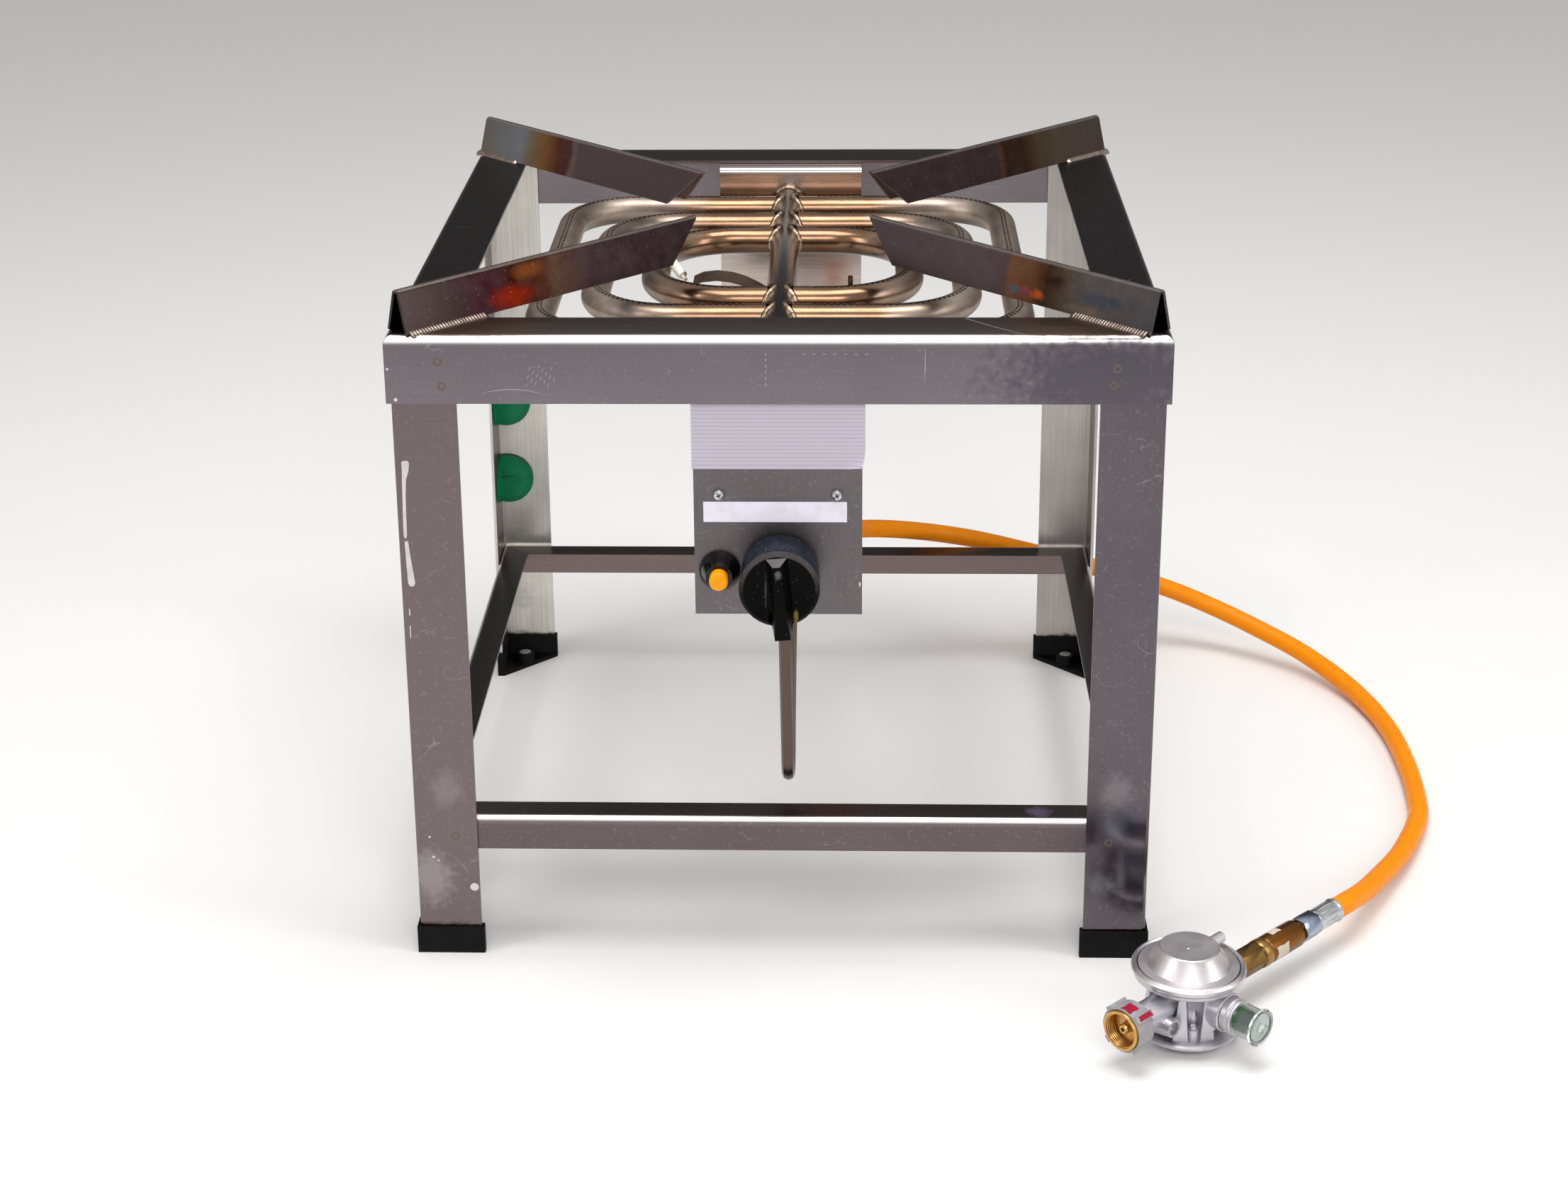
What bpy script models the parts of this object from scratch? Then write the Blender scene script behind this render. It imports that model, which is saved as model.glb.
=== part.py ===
"""Four-legged gas burner stand with a three-ring tube burner, control panel, hose and regulator.

Metres, +Z up, front towards -Y. The floor is z = 0. Each named piece is one closed solid.
"""

import math

import bmesh
import bpy
import numpy as np
from mathutils import Euler, Vector

# --- whole stand -------------------------------------------------------------------------
STAND_CENTRE_Y = 0.0190  # the knob stands out in front, so the square frame sits a little behind the origin
GAP = 0.0003  # clearance between pieces that touch
HALF = 0.2250  # half of the outer width of the square top frame
TOP_Z = 0.4000
SHEET = 0.0020

# --- top frame and legs ------------------------------------------------------------------
APRON_HEIGHT = 0.0405
APRON_FLANGE = 0.0370
APRON_BEND = 0.0048
LEG_OUT = HALF - SHEET - GAP
LEG_WIDTH = 0.0380
LEG_BEND = 0.0024
LEG_FOOT_Z = 0.0036
LEG_TOP_Z = TOP_Z - APRON_BEND - GAP

# --- lower ring of rails -----------------------------------------------------------------
RAIL_OUT = LEG_OUT - SHEET - GAP
RAIL_TOP_Z = 0.0923
RAIL_WEB = 0.0220
RAIL_FLANGE = 0.0195
RAIL_BEND = 0.0030

# --- foot caps ---------------------------------------------------------------------------
CAP_HEIGHT = 0.0180
CAP_WALL = 0.0015
CAP_FLOOR = 0.0032
CAP_CUT = 0.0330  # distance from the outer corner to the slanted inner side
CAP_BOSS_IN = 0.0170
CAP_BOSS_RADIUS = 0.0070
CAP_BOSS_TOP = 0.0100

# --- pot supports ------------------------------------------------------------------------
BAR_HEIGHT = 0.0252
BAR_HALF_WIDTH = 0.0094
BAR_RIDGE_RADIUS = 0.0032
BAR_OUTER_REACH = 0.3075
BAR_INNER_REACH = 0.0775
BAR_CUT_BACK = 0.0275

# --- burner ------------------------------------------------------------------------------
BURNER_X = -0.0015
BURNER_Z = 0.3745
RING_TUBE_RADIUS = 0.0090
MANIFOLD_RADIUS = 0.0094
MANIFOLD_REAR_Y = 0.1735
# half width, half depth and bend radius of the tube centre line
RING_SIZES = {
    "outer": (0.1470, 0.1505, 0.0470),
    "middle": (0.1170, 0.1072, 0.0520),
    "inner": (0.0815, 0.0700, 0.0520),
}
MIXER_X = 0.0030
MIXER_Y = -0.1715
MIXER_RADIUS = 0.0118
MIXER_WALL = 0.0012
MIXER_TOP_Z = 0.3862
BRACKET_Z = 0.2935  # underside of the shelf that carries the mixing tube
BRACKET_DEPTH = 0.0660
BRACKET_HALF_WIDTH = 0.0450
BRACKET_RISE = 0.0220
BRACKET_BEND = 0.0030
INJECTOR_NECK = 0.0050
INJECTOR_HEX = 0.0120

# --- rear plate --------------------------------------------------------------------------
REAR_PLATE_Y = 0.1770
REAR_PLATE_HALF = 0.0500
REAR_PLATE_DROP = 0.1000
REAR_PLATE_FLANGE = 0.0340
REAR_PLATE_BEND = 0.0050

# --- front panel and controls ------------------------------------------------------------
PANEL_HALF = 0.0490
PANEL_BOTTOM_Z = 0.2280
PANEL_FRONT_Y = -LEG_OUT
PANEL_BACK_Y = PANEL_FRONT_Y + SHEET
SCREW_X = 0.0343
SCREW_Z = 0.3033
KNOB_X = 0.0013
KNOB_Z = 0.2574
KNOB_RADIUS = 0.0234
KNOB_GAP = 0.0040
KNOB_FACE = 0.0345  # distance from the panel to the flat face of the knob
KNOB_CHAMFER = 0.0024
KNOB_BAR = 0.0085  # height of the grip bar over that face
KNOB_BAR_ROOT = 0.0060  # how deep the bar is rooted behind the face
KNOB_BAR_TOP = 0.0177  # where the crest ends, above the knob's centre
KNOB_BAR_LOW = 0.0276  # how far the bar runs below the centre, past the disc
KNOB_BAR_LEAN = math.radians(4.5)  # the bar stands a little off the vertical
KNOB_GROOVE_X = 0.0062  # grooves along both foot lines of the bar, deeper towards its lower end
KNOB_GROOVE_DEPTH = 0.0019
KNOB_GROOVE_TOP = 0.0190
SPINDLE_RADIUS = 0.0040
PIEZO_X = -0.0343
PIEZO_Z = 0.2559
PIEZO_RADIUS = 0.01215
PIEZO_BUTTON_RADIUS = 0.00555
PIEZO_REACH = 0.0192

# --- gas pipe ----------------------------------------------------------------------------
PIPE_RADIUS = 0.0040
PIPE_FRONT_Y = -0.2085
PIPE_LOW_Z = 0.1277
PIPE_BEND = 0.0185
PIPE_FRONT_X = 0.0032
PIPE_LOW_X = 0.0046
PIPE_REAR_X = 0.0060

# --- hose --------------------------------------------------------------------------------
HOSE_RADIUS = 0.00665
HOSE_STEP = 0.0270
HOSE_EXIT = (0.0300, -0.1470, 0.2574)
HOSE_LEAD = 0.0120  # straight piece of hose at each end
# route of the centre line after the valve: down behind the panel, over the rear rail,
# round the right side of the stand and back to the regulator
HOSE_ROUTE = (
    (0.0300, -0.0900, 0.2530),
    (0.0290, -0.0100, 0.2210),
    (0.0270, 0.0700, 0.1700),
    (0.0320, 0.1400, 0.1330),
    (0.0515, 0.1880, 0.1190),
    (0.0900, 0.2200, 0.1050),
    (0.1350, 0.2380, 0.0915),
    (0.1824, 0.2450, 0.0775),
    (0.2330, 0.2470, 0.0635),
    (0.2822, 0.2440, 0.0497),
    (0.3184, 0.2380, 0.0365),
    (0.3522, 0.2200, 0.0258),
    (0.3845, 0.1921, 0.0168),
    (0.4122, 0.1470, 0.0094),
    (0.4272, 0.0880, 0.0070),
    (0.4297, 0.0209, 0.0070),
    (0.4250, -0.0387, 0.0070),
    (0.4172, -0.0665, 0.0078),
    (0.4007, -0.1062, 0.0102),
    (0.3844, -0.1370, 0.0135),
    (0.3640, -0.1735, 0.0190),
)

# --- regulator, in its own frame: +X along the outlet, -X along the inlet ---------------
REG_CENTRE = (0.2382, -0.3077)
REG_TURN = math.radians(45.0)
REG_AXIS_Z = 0.0270
REG_OUTLET_Z = 0.0243
REG_SIGHT_Z = 0.0263
REG_FLANGE_RADIUS = 0.0332
REG_FLANGE_Z = 0.0415
REG_TOP_Z = 0.0572
REG_BASE_RADIUS = 0.0310
ARM_RADIUS = 0.0080
ARM_END = 0.0420
ADAPTER_START = 0.0443
ADAPTER_END = 0.1065
SWIVEL_END = 0.1215
FERRULE_END = 0.1440
ADAPTER_RADIUS = 0.0085
ADAPTER_HEX = 0.0150
NUT_START = 0.0500
NUT_END = 0.0610
NUT_RADIUS = 0.0120
WHEEL_START = 0.0455
WHEEL_END = 0.0595
WHEEL_RADIUS = 0.0136
WING_RADIUS = 0.0152
SIGHT_START = 0.0388
SIGHT_END = 0.0535
TEST_PORT_IN = 0.0283  # distance of the hollow boss along the inlet arm
TEST_PORT_END = 0.0133
TEST_PORT_Z = 0.0205
TEST_PORT_ROOT = 0.0084  # radius of the tapered boss where it leaves the inlet arm
TEST_PORT_RADIUS = 0.0056
REG_BOSS_REACH = 0.0222
REG_BOSS_TURN = -132

COLLECTION = "propane_burner_stand"


# --- finishes ----------------------------------------------------------------------------
FINISHES = {
    "steel": ((0.36, 0.34, 0.35, 1.0), 1.0, 0.36),
    "heated": ((0.22, 0.17, 0.16, 1.0), 1.0, 0.42),
    "straw": ((0.62, 0.47, 0.30, 1.0), 1.0, 0.24),
    "rubber": ((0.02, 0.02, 0.02, 1.0), 0.0, 0.60),
    "knob": ((0.015, 0.015, 0.016, 1.0), 0.0, 0.30),
    "button": ((0.95, 0.46, 0.03, 1.0), 0.0, 0.35),
    "brass": ((0.60, 0.41, 0.16, 1.0), 1.0, 0.32),
    "zinc": ((0.62, 0.64, 0.70, 1.0), 1.0, 0.24),
    "copper": ((0.42, 0.33, 0.27, 1.0), 1.0, 0.34),
    "hose": ((0.95, 0.34, 0.01, 1.0), 0.0, 0.45),
    "casting": ((0.66, 0.65, 0.66, 1.0), 1.0, 0.38),
    "ceramic": ((0.86, 0.84, 0.78, 1.0), 0.0, 0.40),
    "clear": ((0.86, 0.90, 0.88, 1.0), 0.0, 0.06),
    "green": ((0.03, 0.42, 0.08, 1.0), 0.0, 0.40),
    "grey": ((0.42, 0.41, 0.42, 1.0), 0.0, 0.50),
}


def clear_scene():
    for old in list(bpy.data.objects):
        bpy.data.objects.remove(old, do_unlink=True)


def make_collection(name, hidden):
    made = bpy.data.collections.new(name)
    made.hide_render = hidden
    bpy.context.scene.collection.children.link(made)
    return made


def own_material(name, finish):
    colour, metallic, roughness = FINISHES[finish]
    material = bpy.data.materials.new(name + "_" + finish)
    material.use_nodes = True
    shader = material.node_tree.nodes["Principled BSDF"]
    shader.inputs["Base Color"].default_value = colour
    shader.inputs["Metallic"].default_value = metallic
    shader.inputs["Roughness"].default_value = roughness
    return material


class Builder:
    """Makes the objects and keeps the collections and the frame that they hang from."""

    def __init__(self):
        clear_scene()
        self.parts = make_collection(COLLECTION, False)
        self.tools = make_collection("cutters", True)
        self.root = self.empty("stand_centre", None, (0, STAND_CENTRE_Y, 0), (0, 0, 0))
        self.parent = self.root

    def empty(self, name, parent, location, rotation):
        made = bpy.data.objects.new(name, None)
        made.empty_display_size = 0.02
        made.location = location
        made.rotation_euler = rotation
        made.parent = parent
        self.parts.objects.link(made)
        return made

    def place(self, name, data, finish, location=(0, 0, 0), rotation=(0, 0, 0), parent=None):
        made = bpy.data.objects.new(name, data)
        made.location = location
        made.rotation_euler = rotation
        made.parent = parent or self.parent
        if finish:
            data.materials.append(own_material(name, finish))
            self.parts.objects.link(made)
        else:
            made.display_type = "WIRE"
            made.hide_render = True
            self.tools.objects.link(made)
        return made

    def tool(self, name, data, location=(0, 0, 0), rotation=(0, 0, 0), parent=None):
        return self.place(name, data, None, location, rotation, parent)

    def combine(self, target, tool, operation):
        step = target.modifiers.new(operation.lower() + "_" + tool.name, "BOOLEAN")
        step.operation = operation
        step.solver = "EXACT"
        step.object = tool
        return target

    def cut(self, target, *tools):
        for tool in tools:
            self.combine(target, tool, "DIFFERENCE")
        return target

    def join(self, target, *tools):
        for tool in tools:
            self.combine(target, tool, "UNION")
        return target


# --- basic shapes ------------------------------------------------------------------------
def mesh_from(bm, name):
    mesh = bpy.data.meshes.new(name)
    bmesh.ops.recalc_face_normals(bm, faces=bm.faces)
    bm.to_mesh(mesh)
    bm.free()
    return mesh


def box_mesh(name, low, high):
    """Box between two opposite corners."""
    bm = bmesh.new()
    bmesh.ops.create_cube(bm, size=1.0)
    low = Vector(low)
    high = Vector(high)
    for vertex in bm.verts:
        vertex.co = Vector(
            (low[i] + (high[i] - low[i]) * (vertex.co[i] + 0.5) for i in range(3))
        )
    return mesh_from(bm, name)


def rod_mesh(name, radius, length, sides=24, end_radius=None):
    """Cylinder from the origin up +Z, or a taper if it has another radius at its end."""
    bm = bmesh.new()
    bmesh.ops.create_cone(
        bm,
        cap_ends=True,
        segments=sides,
        radius1=radius,
        radius2=end_radius or radius,
        depth=length,
    )
    bmesh.ops.translate(bm, verts=bm.verts, vec=(0, 0, length / 2))
    return mesh_from(bm, name)


def hex_mesh(name, across_flats, length):
    return rod_mesh(name, across_flats / 2 / math.cos(math.pi / 6), length, 6)


def outline_mesh(name, outline, length):
    """Closed 2D outline in local XY, extruded to both sides of its plane."""
    curve = bpy.data.curves.new(name, "CURVE")
    curve.dimensions = "2D"
    curve.fill_mode = "BOTH"
    curve.extrude = length / 2
    spline = curve.splines.new("POLY")
    spline.points.add(len(outline) - 1)
    for point, (x, y) in zip(spline.points, outline):
        point.co = (x, y, 0, 1)
    spline.use_cyclic_u = True
    return mesh_of_curve(name, curve)


def tube_curve(name, points, radius, resolution):
    curve = bpy.data.curves.new(name, "CURVE")
    curve.dimensions = "3D"
    curve.bevel_depth = radius
    curve.bevel_resolution = resolution
    curve.use_fill_caps = True
    spline = curve.splines.new("POLY")
    spline.points.add(len(points) - 1)
    for point, place in zip(spline.points, points):
        point.co = (*place, 1)
    return curve


def mesh_of_curve(name, curve):
    holder = bpy.data.objects.new(name + "_curve", curve)
    mesh = bpy.data.meshes.new_from_object(holder)
    bpy.data.objects.remove(holder)
    bpy.data.curves.remove(curve)
    bm = bmesh.new()
    bm.from_mesh(mesh)
    bpy.data.meshes.remove(mesh)
    bmesh.ops.remove_doubles(bm, verts=bm.verts, dist=1e-6)
    return mesh_from(bm, name)


def lathe(builder, name, profile, finish, steps=28, **placing):
    """Turned shape about local Z. The (radius, height) profile runs from top to bottom."""
    mesh = bpy.data.meshes.new(name)
    points = [(radius, 0, height) for radius, height in profile]
    closed = profile[0][0] > 0
    count = len(points)
    edges = [(i, (i + 1) % count) for i in range(count if closed else count - 1)]
    mesh.from_pydata(points, edges, [])
    made = builder.place(name, mesh, finish, **placing)
    turn = made.modifiers.new("turn", "SCREW")
    turn.axis = "Z"
    turn.angle = math.tau
    turn.steps = steps
    turn.render_steps = steps
    turn.use_merge_vertices = True
    turn.merge_threshold = 1e-5
    turn.use_normal_calculate = False
    return made


def arc(centre, radius, start, end, count):
    """Points on a circle, angles in degrees."""
    turns = np.radians(np.linspace(start, end, count))
    return [(centre[0] + radius * math.cos(t), centre[1] + radius * math.sin(t)) for t in turns]


def angle_outline(across, down, sheet, bend):
    """Folded sheet section: `across` runs to +X along y = 0, `down` runs to -Y along x = 0."""
    inner = bend - sheet
    outer_arc = arc((bend, -bend), bend, 180, 90, 6)
    inner_arc = arc((bend, -bend), inner, 90, 180, 5)
    return [
        (0, -down),
        *outer_arc,
        (across, 0),
        (across, -sheet),
        *inner_arc,
        (sheet, -down),
    ]


# --- frame -------------------------------------------------------------------------------
ACROSS_X = (math.radians(90), 0, math.radians(90))  # local XY to world YZ, extrusion along X
SIDES = {"front": 0, "right": 90, "rear": 180, "left": 270}
CORNERS = {"front_left": 0, "front_right": 90, "rear_right": 180, "rear_left": 270}


def mitred_angle_mesh(name, half, section):
    """Folded angle along X at y = -half, its ends cut at 45 degrees to meet its neighbours."""
    mesh = outline_mesh(name, section, 1.0)
    for vertex in mesh.vertices:
        across, up, along = vertex.co
        y = across - half
        reach = -y - GAP / math.sqrt(2)
        vertex.co = (math.copysign(reach, along), y, up)
    return mesh


def build_ring(builder, prefix, half, top, section, finish):
    for side, turn in SIDES.items():
        name = prefix + "_" + side
        mesh = mitred_angle_mesh(name, half, section)
        builder.place(name, mesh, finish, (0, 0, top), (0, 0, math.radians(turn)))


def build_legs(builder):
    section = [
        (x - LEG_OUT, y - LEG_OUT)
        for x, y in [(a, -b) for a, b in angle_outline(LEG_WIDTH, LEG_WIDTH, SHEET, LEG_BEND)]
    ]
    height = LEG_TOP_Z - LEG_FOOT_Z
    for corner, turn in CORNERS.items():
        name = "leg_" + corner
        mesh = outline_mesh(name, section[::-1], height)
        middle = (LEG_TOP_Z + LEG_FOOT_Z) / 2
        builder.place(name, mesh, "steel", (0, 0, middle), (0, 0, math.radians(turn)))


def build_foot_caps(builder):
    """Angle cap: outer walls, inner walls, slanted floor plate and a round boss."""
    outer = -LEG_OUT - GAP - CAP_WALL
    end = outer + LEG_WIDTH + 2 * (GAP + CAP_WALL)
    slant = 2 * outer + CAP_CUT * math.sqrt(2)
    footprint = [(outer, outer), (end, outer), (end, slant - end), (slant - end, end), (outer, end)]
    wall_in = -LEG_OUT + SHEET + GAP
    wall_end = -LEG_OUT + LEG_WIDTH + GAP
    slot = [
        (-LEG_OUT - GAP, -LEG_OUT - GAP),
        (wall_end, -LEG_OUT - GAP),
        (wall_end, wall_in),
        (wall_in, wall_in),
        (wall_in, wall_end),
        (-LEG_OUT - GAP, wall_end),
    ]
    hollow_start = wall_in + CAP_WALL
    hollow = [
        (hollow_start, hollow_start),
        (end + GAP, hollow_start),
        (end + GAP, end + GAP),
        (hollow_start, end + GAP),
    ]
    boss_at = outer + CAP_WALL + CAP_BOSS_IN
    for corner, turn in CORNERS.items():
        spin = (0, 0, math.radians(turn))
        name = "foot_cap_" + corner
        cap = builder.place(
            name,
            outline_mesh(name, footprint, CAP_HEIGHT),
            "rubber",
            (0, 0, CAP_HEIGHT / 2),
            spin,
        )
        depth = CAP_HEIGHT
        leg_slot = builder.tool(
            "cut_leg_" + corner,
            outline_mesh("cut_leg_" + corner, slot, depth),
            (0, 0, LEG_FOOT_Z - GAP + depth / 2),
            spin,
        )
        inside = builder.tool(
            "cut_inside_" + corner,
            outline_mesh("cut_inside_" + corner, hollow, depth),
            (0, 0, CAP_FLOOR + depth / 2),
            spin,
        )
        mount = builder.empty("boss_" + corner, builder.parent, (0, 0, 0), spin)
        boss = builder.tool(
            "add_boss_" + corner,
            rod_mesh("add_boss_" + corner, CAP_BOSS_RADIUS, CAP_BOSS_TOP - CAP_FLOOR / 2, 16),
            (boss_at, boss_at, CAP_FLOOR / 2),
            parent=mount,
        )
        builder.cut(cap, leg_slot, inside)
        builder.join(cap, boss)


def bar_outline():
    """Inverted V section with a rounded ridge, feet on y = 0."""
    drop = BAR_HEIGHT - BAR_RIDGE_RADIUS
    lean = math.acos(BAR_RIDGE_RADIUS / math.hypot(BAR_HALF_WIDTH, drop)) - math.atan2(
        drop, BAR_HALF_WIDTH
    )
    lean_deg = math.degrees(lean)
    centre = (0, drop)
    foot_inner = BAR_HALF_WIDTH - SHEET / math.cos(lean)
    outer_arc = arc(centre, BAR_RIDGE_RADIUS, lean_deg, 180 - lean_deg, 9)
    inner_arc = arc(centre, BAR_RIDGE_RADIUS - SHEET, 180 - lean_deg, lean_deg, 7)
    return [
        (BAR_HALF_WIDTH, 0),
        *outer_arc,
        (-BAR_HALF_WIDTH, 0),
        (-foot_inner, 0),
        *inner_arc,
        (foot_inner, 0),
    ]


def build_pot_bars(builder):
    """Folded bars on the diagonals, their inner ends cut back towards the bottom."""
    names = ("rear_right", "rear_left", "front_left", "front_right")
    for index, corner in enumerate(names):
        name = "pot_bar_" + corner
        mesh = outline_mesh(name, bar_outline(), 1.0)
        for vertex in mesh.vertices:
            across, up, along = vertex.co
            inner = BAR_INNER_REACH + BAR_CUT_BACK * (1 - up / BAR_HEIGHT)
            reach = BAR_OUTER_REACH if along > 0 else inner
            vertex.co = (reach, across, up)
        turn = (0, 0, math.radians(45 + 90 * index))
        builder.place(name, mesh, "heated", (0, 0, TOP_Z + GAP), turn)


# --- plates ------------------------------------------------------------------------------
FORWARD = (math.radians(90), 0, 0)  # local Z to world -Y
BACKWARD = (math.radians(-90), 0, 0)  # local Z to world +Y


def build_front_panel(builder):
    panel = builder.place(
        "front_panel",
        box_mesh(
            "front_panel",
            (-PANEL_HALF, PANEL_FRONT_Y, PANEL_BOTTOM_Z),
            (PANEL_HALF, PANEL_BACK_Y, LEG_TOP_Z),
        ),
        "steel",
    )
    holes = (
        ("spindle", KNOB_X, KNOB_Z, 0.0055),
        ("piezo", PIEZO_X, PIEZO_Z, 0.0065),
        ("screw_left", -SCREW_X, SCREW_Z, 0.0022),
        ("screw_right", SCREW_X, SCREW_Z, 0.0022),
    )
    for label, x, z, radius in holes:
        name = "cut_panel_" + label
        hole = builder.tool(
            name, rod_mesh(name, radius, 0.02, 16), (x, PANEL_FRONT_Y - 0.006, z), BACKWARD
        )
        builder.cut(panel, hole)


def build_rear_plate(builder):
    section = [
        (REAR_PLATE_Y + a, TOP_Z - SHEET - GAP + b)
        for a, b in angle_outline(REAR_PLATE_FLANGE, REAR_PLATE_DROP, SHEET, REAR_PLATE_BEND)
    ]
    builder.place(
        "rear_plate",
        outline_mesh("rear_plate", section, 2 * REAR_PLATE_HALF),
        "steel",
        rotation=ACROSS_X,
    )


def build_burner_bracket(builder):
    start = PANEL_BACK_Y + GAP
    section = [
        (start + a, BRACKET_Z - b)
        for a, b in angle_outline(BRACKET_DEPTH, BRACKET_RISE, SHEET, BRACKET_BEND)
    ]
    bracket = builder.place(
        "burner_bracket",
        outline_mesh("burner_bracket", section[::-1], 2 * BRACKET_HALF_WIDTH),
        "steel",
        rotation=ACROSS_X,
    )
    jet_hole = builder.tool(
        "cut_jet_hole",
        rod_mesh("cut_jet_hole", INJECTOR_NECK + 0.0004, 0.02, 16),
        (MIXER_X, MIXER_Y, BRACKET_Z - 0.01),
    )
    builder.cut(bracket, jet_hole)
    for label, x in (("left", -SCREW_X), ("right", SCREW_X)):
        name = "cut_bracket_" + label
        hole = builder.tool(
            name, rod_mesh(name, 0.0022, 0.02, 12), (x, PANEL_FRONT_Y - 0.006, SCREW_Z), BACKWARD
        )
        builder.cut(bracket, hole)


def build_panel_screws(builder):
    """Pan heads on the panel, shanks through panel and bracket."""
    head = 0.0026
    profile = [
        (0, head),
        (0.0016, head * 0.97),
        (0.0028, head * 0.75),
        (0.0034, head * 0.35),
        (0.0035, 0),
        (0.0019, 0),
        (0.0019, -0.0080),
        (0, -0.0080),
    ]
    for label, x in (("left", -SCREW_X), ("right", SCREW_X)):
        lathe(
            builder,
            "panel_screw_" + label,
            profile,
            "zinc",
            12,
            location=(x, PANEL_FRONT_Y - GAP, SCREW_Z),
            rotation=FORWARD,
        )


# --- burner ------------------------------------------------------------------------------
def half_ring_points(half_width, half_depth, bend):
    """Centre line of the right half of a rounded rectangle, from the rear to the front."""
    rear = arc((half_width - bend, half_depth - bend), bend, 90, 0, 9)
    front = arc((half_width - bend, bend - half_depth), bend, 0, -90, 9)
    line = [(0, half_depth), *rear, *front, (0, -half_depth)]
    return [(x, y, 0) for x, y in line]


def build_rings(builder):
    saddle = builder.tool(
        "cut_ring_saddle",
        rod_mesh("cut_ring_saddle", MANIFOLD_RADIUS + GAP, 0.40, 24),
        (BURNER_X, -0.20, BURNER_Z),
        BACKWARD,
    )
    for ring, sizes in RING_SIZES.items():
        line = half_ring_points(*sizes)
        for side, sign in (("right", 1), ("left", -1)):
            name = "ring_" + ring + "_" + side
            points = [(sign * x, y, z) for x, y, z in line]
            mesh = mesh_of_curve(name, tube_curve(name, points, RING_TUBE_RADIUS, 3))
            half = builder.place(name, mesh, "straw", (BURNER_X, 0, BURNER_Z))
            builder.cut(half, saddle)


def build_manifold(builder):
    """Straight feed tube with a domed rear end and a saddle cut against the mixing tube."""
    radius = MANIFOLD_RADIUS
    rear = MANIFOLD_REAR_Y
    dome = 0.0050
    front = MIXER_Y
    profile = [(0, rear)]
    profile += [
        (radius * math.sin(t), rear - dome + dome * math.cos(t))
        for t in np.radians(np.linspace(18, 90, 5))
    ]
    profile += [(radius, front), (0, front)]
    manifold = lathe(
        builder,
        "burner_manifold",
        profile,
        "straw",
        24,
        location=(BURNER_X, 0, BURNER_Z),
        rotation=BACKWARD,
    )
    saddle = builder.tool(
        "cut_manifold_saddle",
        rod_mesh("cut_manifold_saddle", MIXER_RADIUS + GAP, 0.06, 28),
        (MIXER_X, MIXER_Y, BURNER_Z - 0.03),
    )
    builder.cut(manifold, saddle)


def build_mixer(builder):
    """Upright mixing tube, closed on top, open at the bottom, with two air windows."""
    low = BRACKET_Z + SHEET + GAP
    inner = MIXER_RADIUS - MIXER_WALL
    top = MIXER_TOP_Z
    profile = [
        (0, top),
        (MIXER_RADIUS - 0.002, top),
        (MIXER_RADIUS, top - 0.002),
        (MIXER_RADIUS, low),
        (inner, low),
        (inner, top - MIXER_WALL),
        (0, top - MIXER_WALL),
    ]
    mixer = lathe(builder, "mixing_tube", profile, "steel", 24, location=(MIXER_X, MIXER_Y, 0))
    window = builder.tool(
        "cut_air_window",
        box_mesh("cut_air_window", (-0.03, -0.0055, 0), (0.03, 0.0055, 0.014)),
        (MIXER_X, MIXER_Y, low + 0.012),
    )
    builder.cut(mixer, window)


def build_injector(builder):
    """Hexagon under the shelf with a jet that points up into the mixing tube."""
    injector = builder.place(
        "injector",
        hex_mesh("injector", 0.0140, INJECTOR_HEX),
        "brass",
        (MIXER_X, MIXER_Y, BRACKET_Z - GAP - INJECTOR_HEX),
    )
    jet = [
        (0, 0.0240),
        (0.0012, 0.0240),
        (0.0030, 0.0215),
        (0.0034, 0.0180),
        (INJECTOR_NECK, 0.0170),
        (INJECTOR_NECK, 0.0060),
        (0, 0.0060),
    ]
    nozzle = lathe(
        builder, "add_jet", jet, None, 16, location=(MIXER_X, MIXER_Y, BRACKET_Z - GAP - INJECTOR_HEX)
    )
    builder.join(injector, nozzle)


# --- valve, knob and pipe ----------------------------------------------------------------
VALVE_LOW_Z = KNOB_Z - 0.0180
VALVE_HIGH_Z = KNOB_Z + 0.0180
VALVE_BACK_Y = -0.1860
PIPE_TOP_FRONT_Z = VALVE_LOW_Z - 0.0006
PIPE_TOP_REAR_Z = BRACKET_Z - INJECTOR_HEX - 2 * GAP


def build_nut(builder, name, finish, across_flats, length, bore, **placing):
    nut = builder.place(name, hex_mesh(name, across_flats, length), finish, **placing)
    hole = builder.tool(
        "cut_" + name, rod_mesh("cut_" + name, bore, 3 * length, 16), (0, 0, -length), parent=nut
    )
    return builder.cut(nut, hole)


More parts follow.
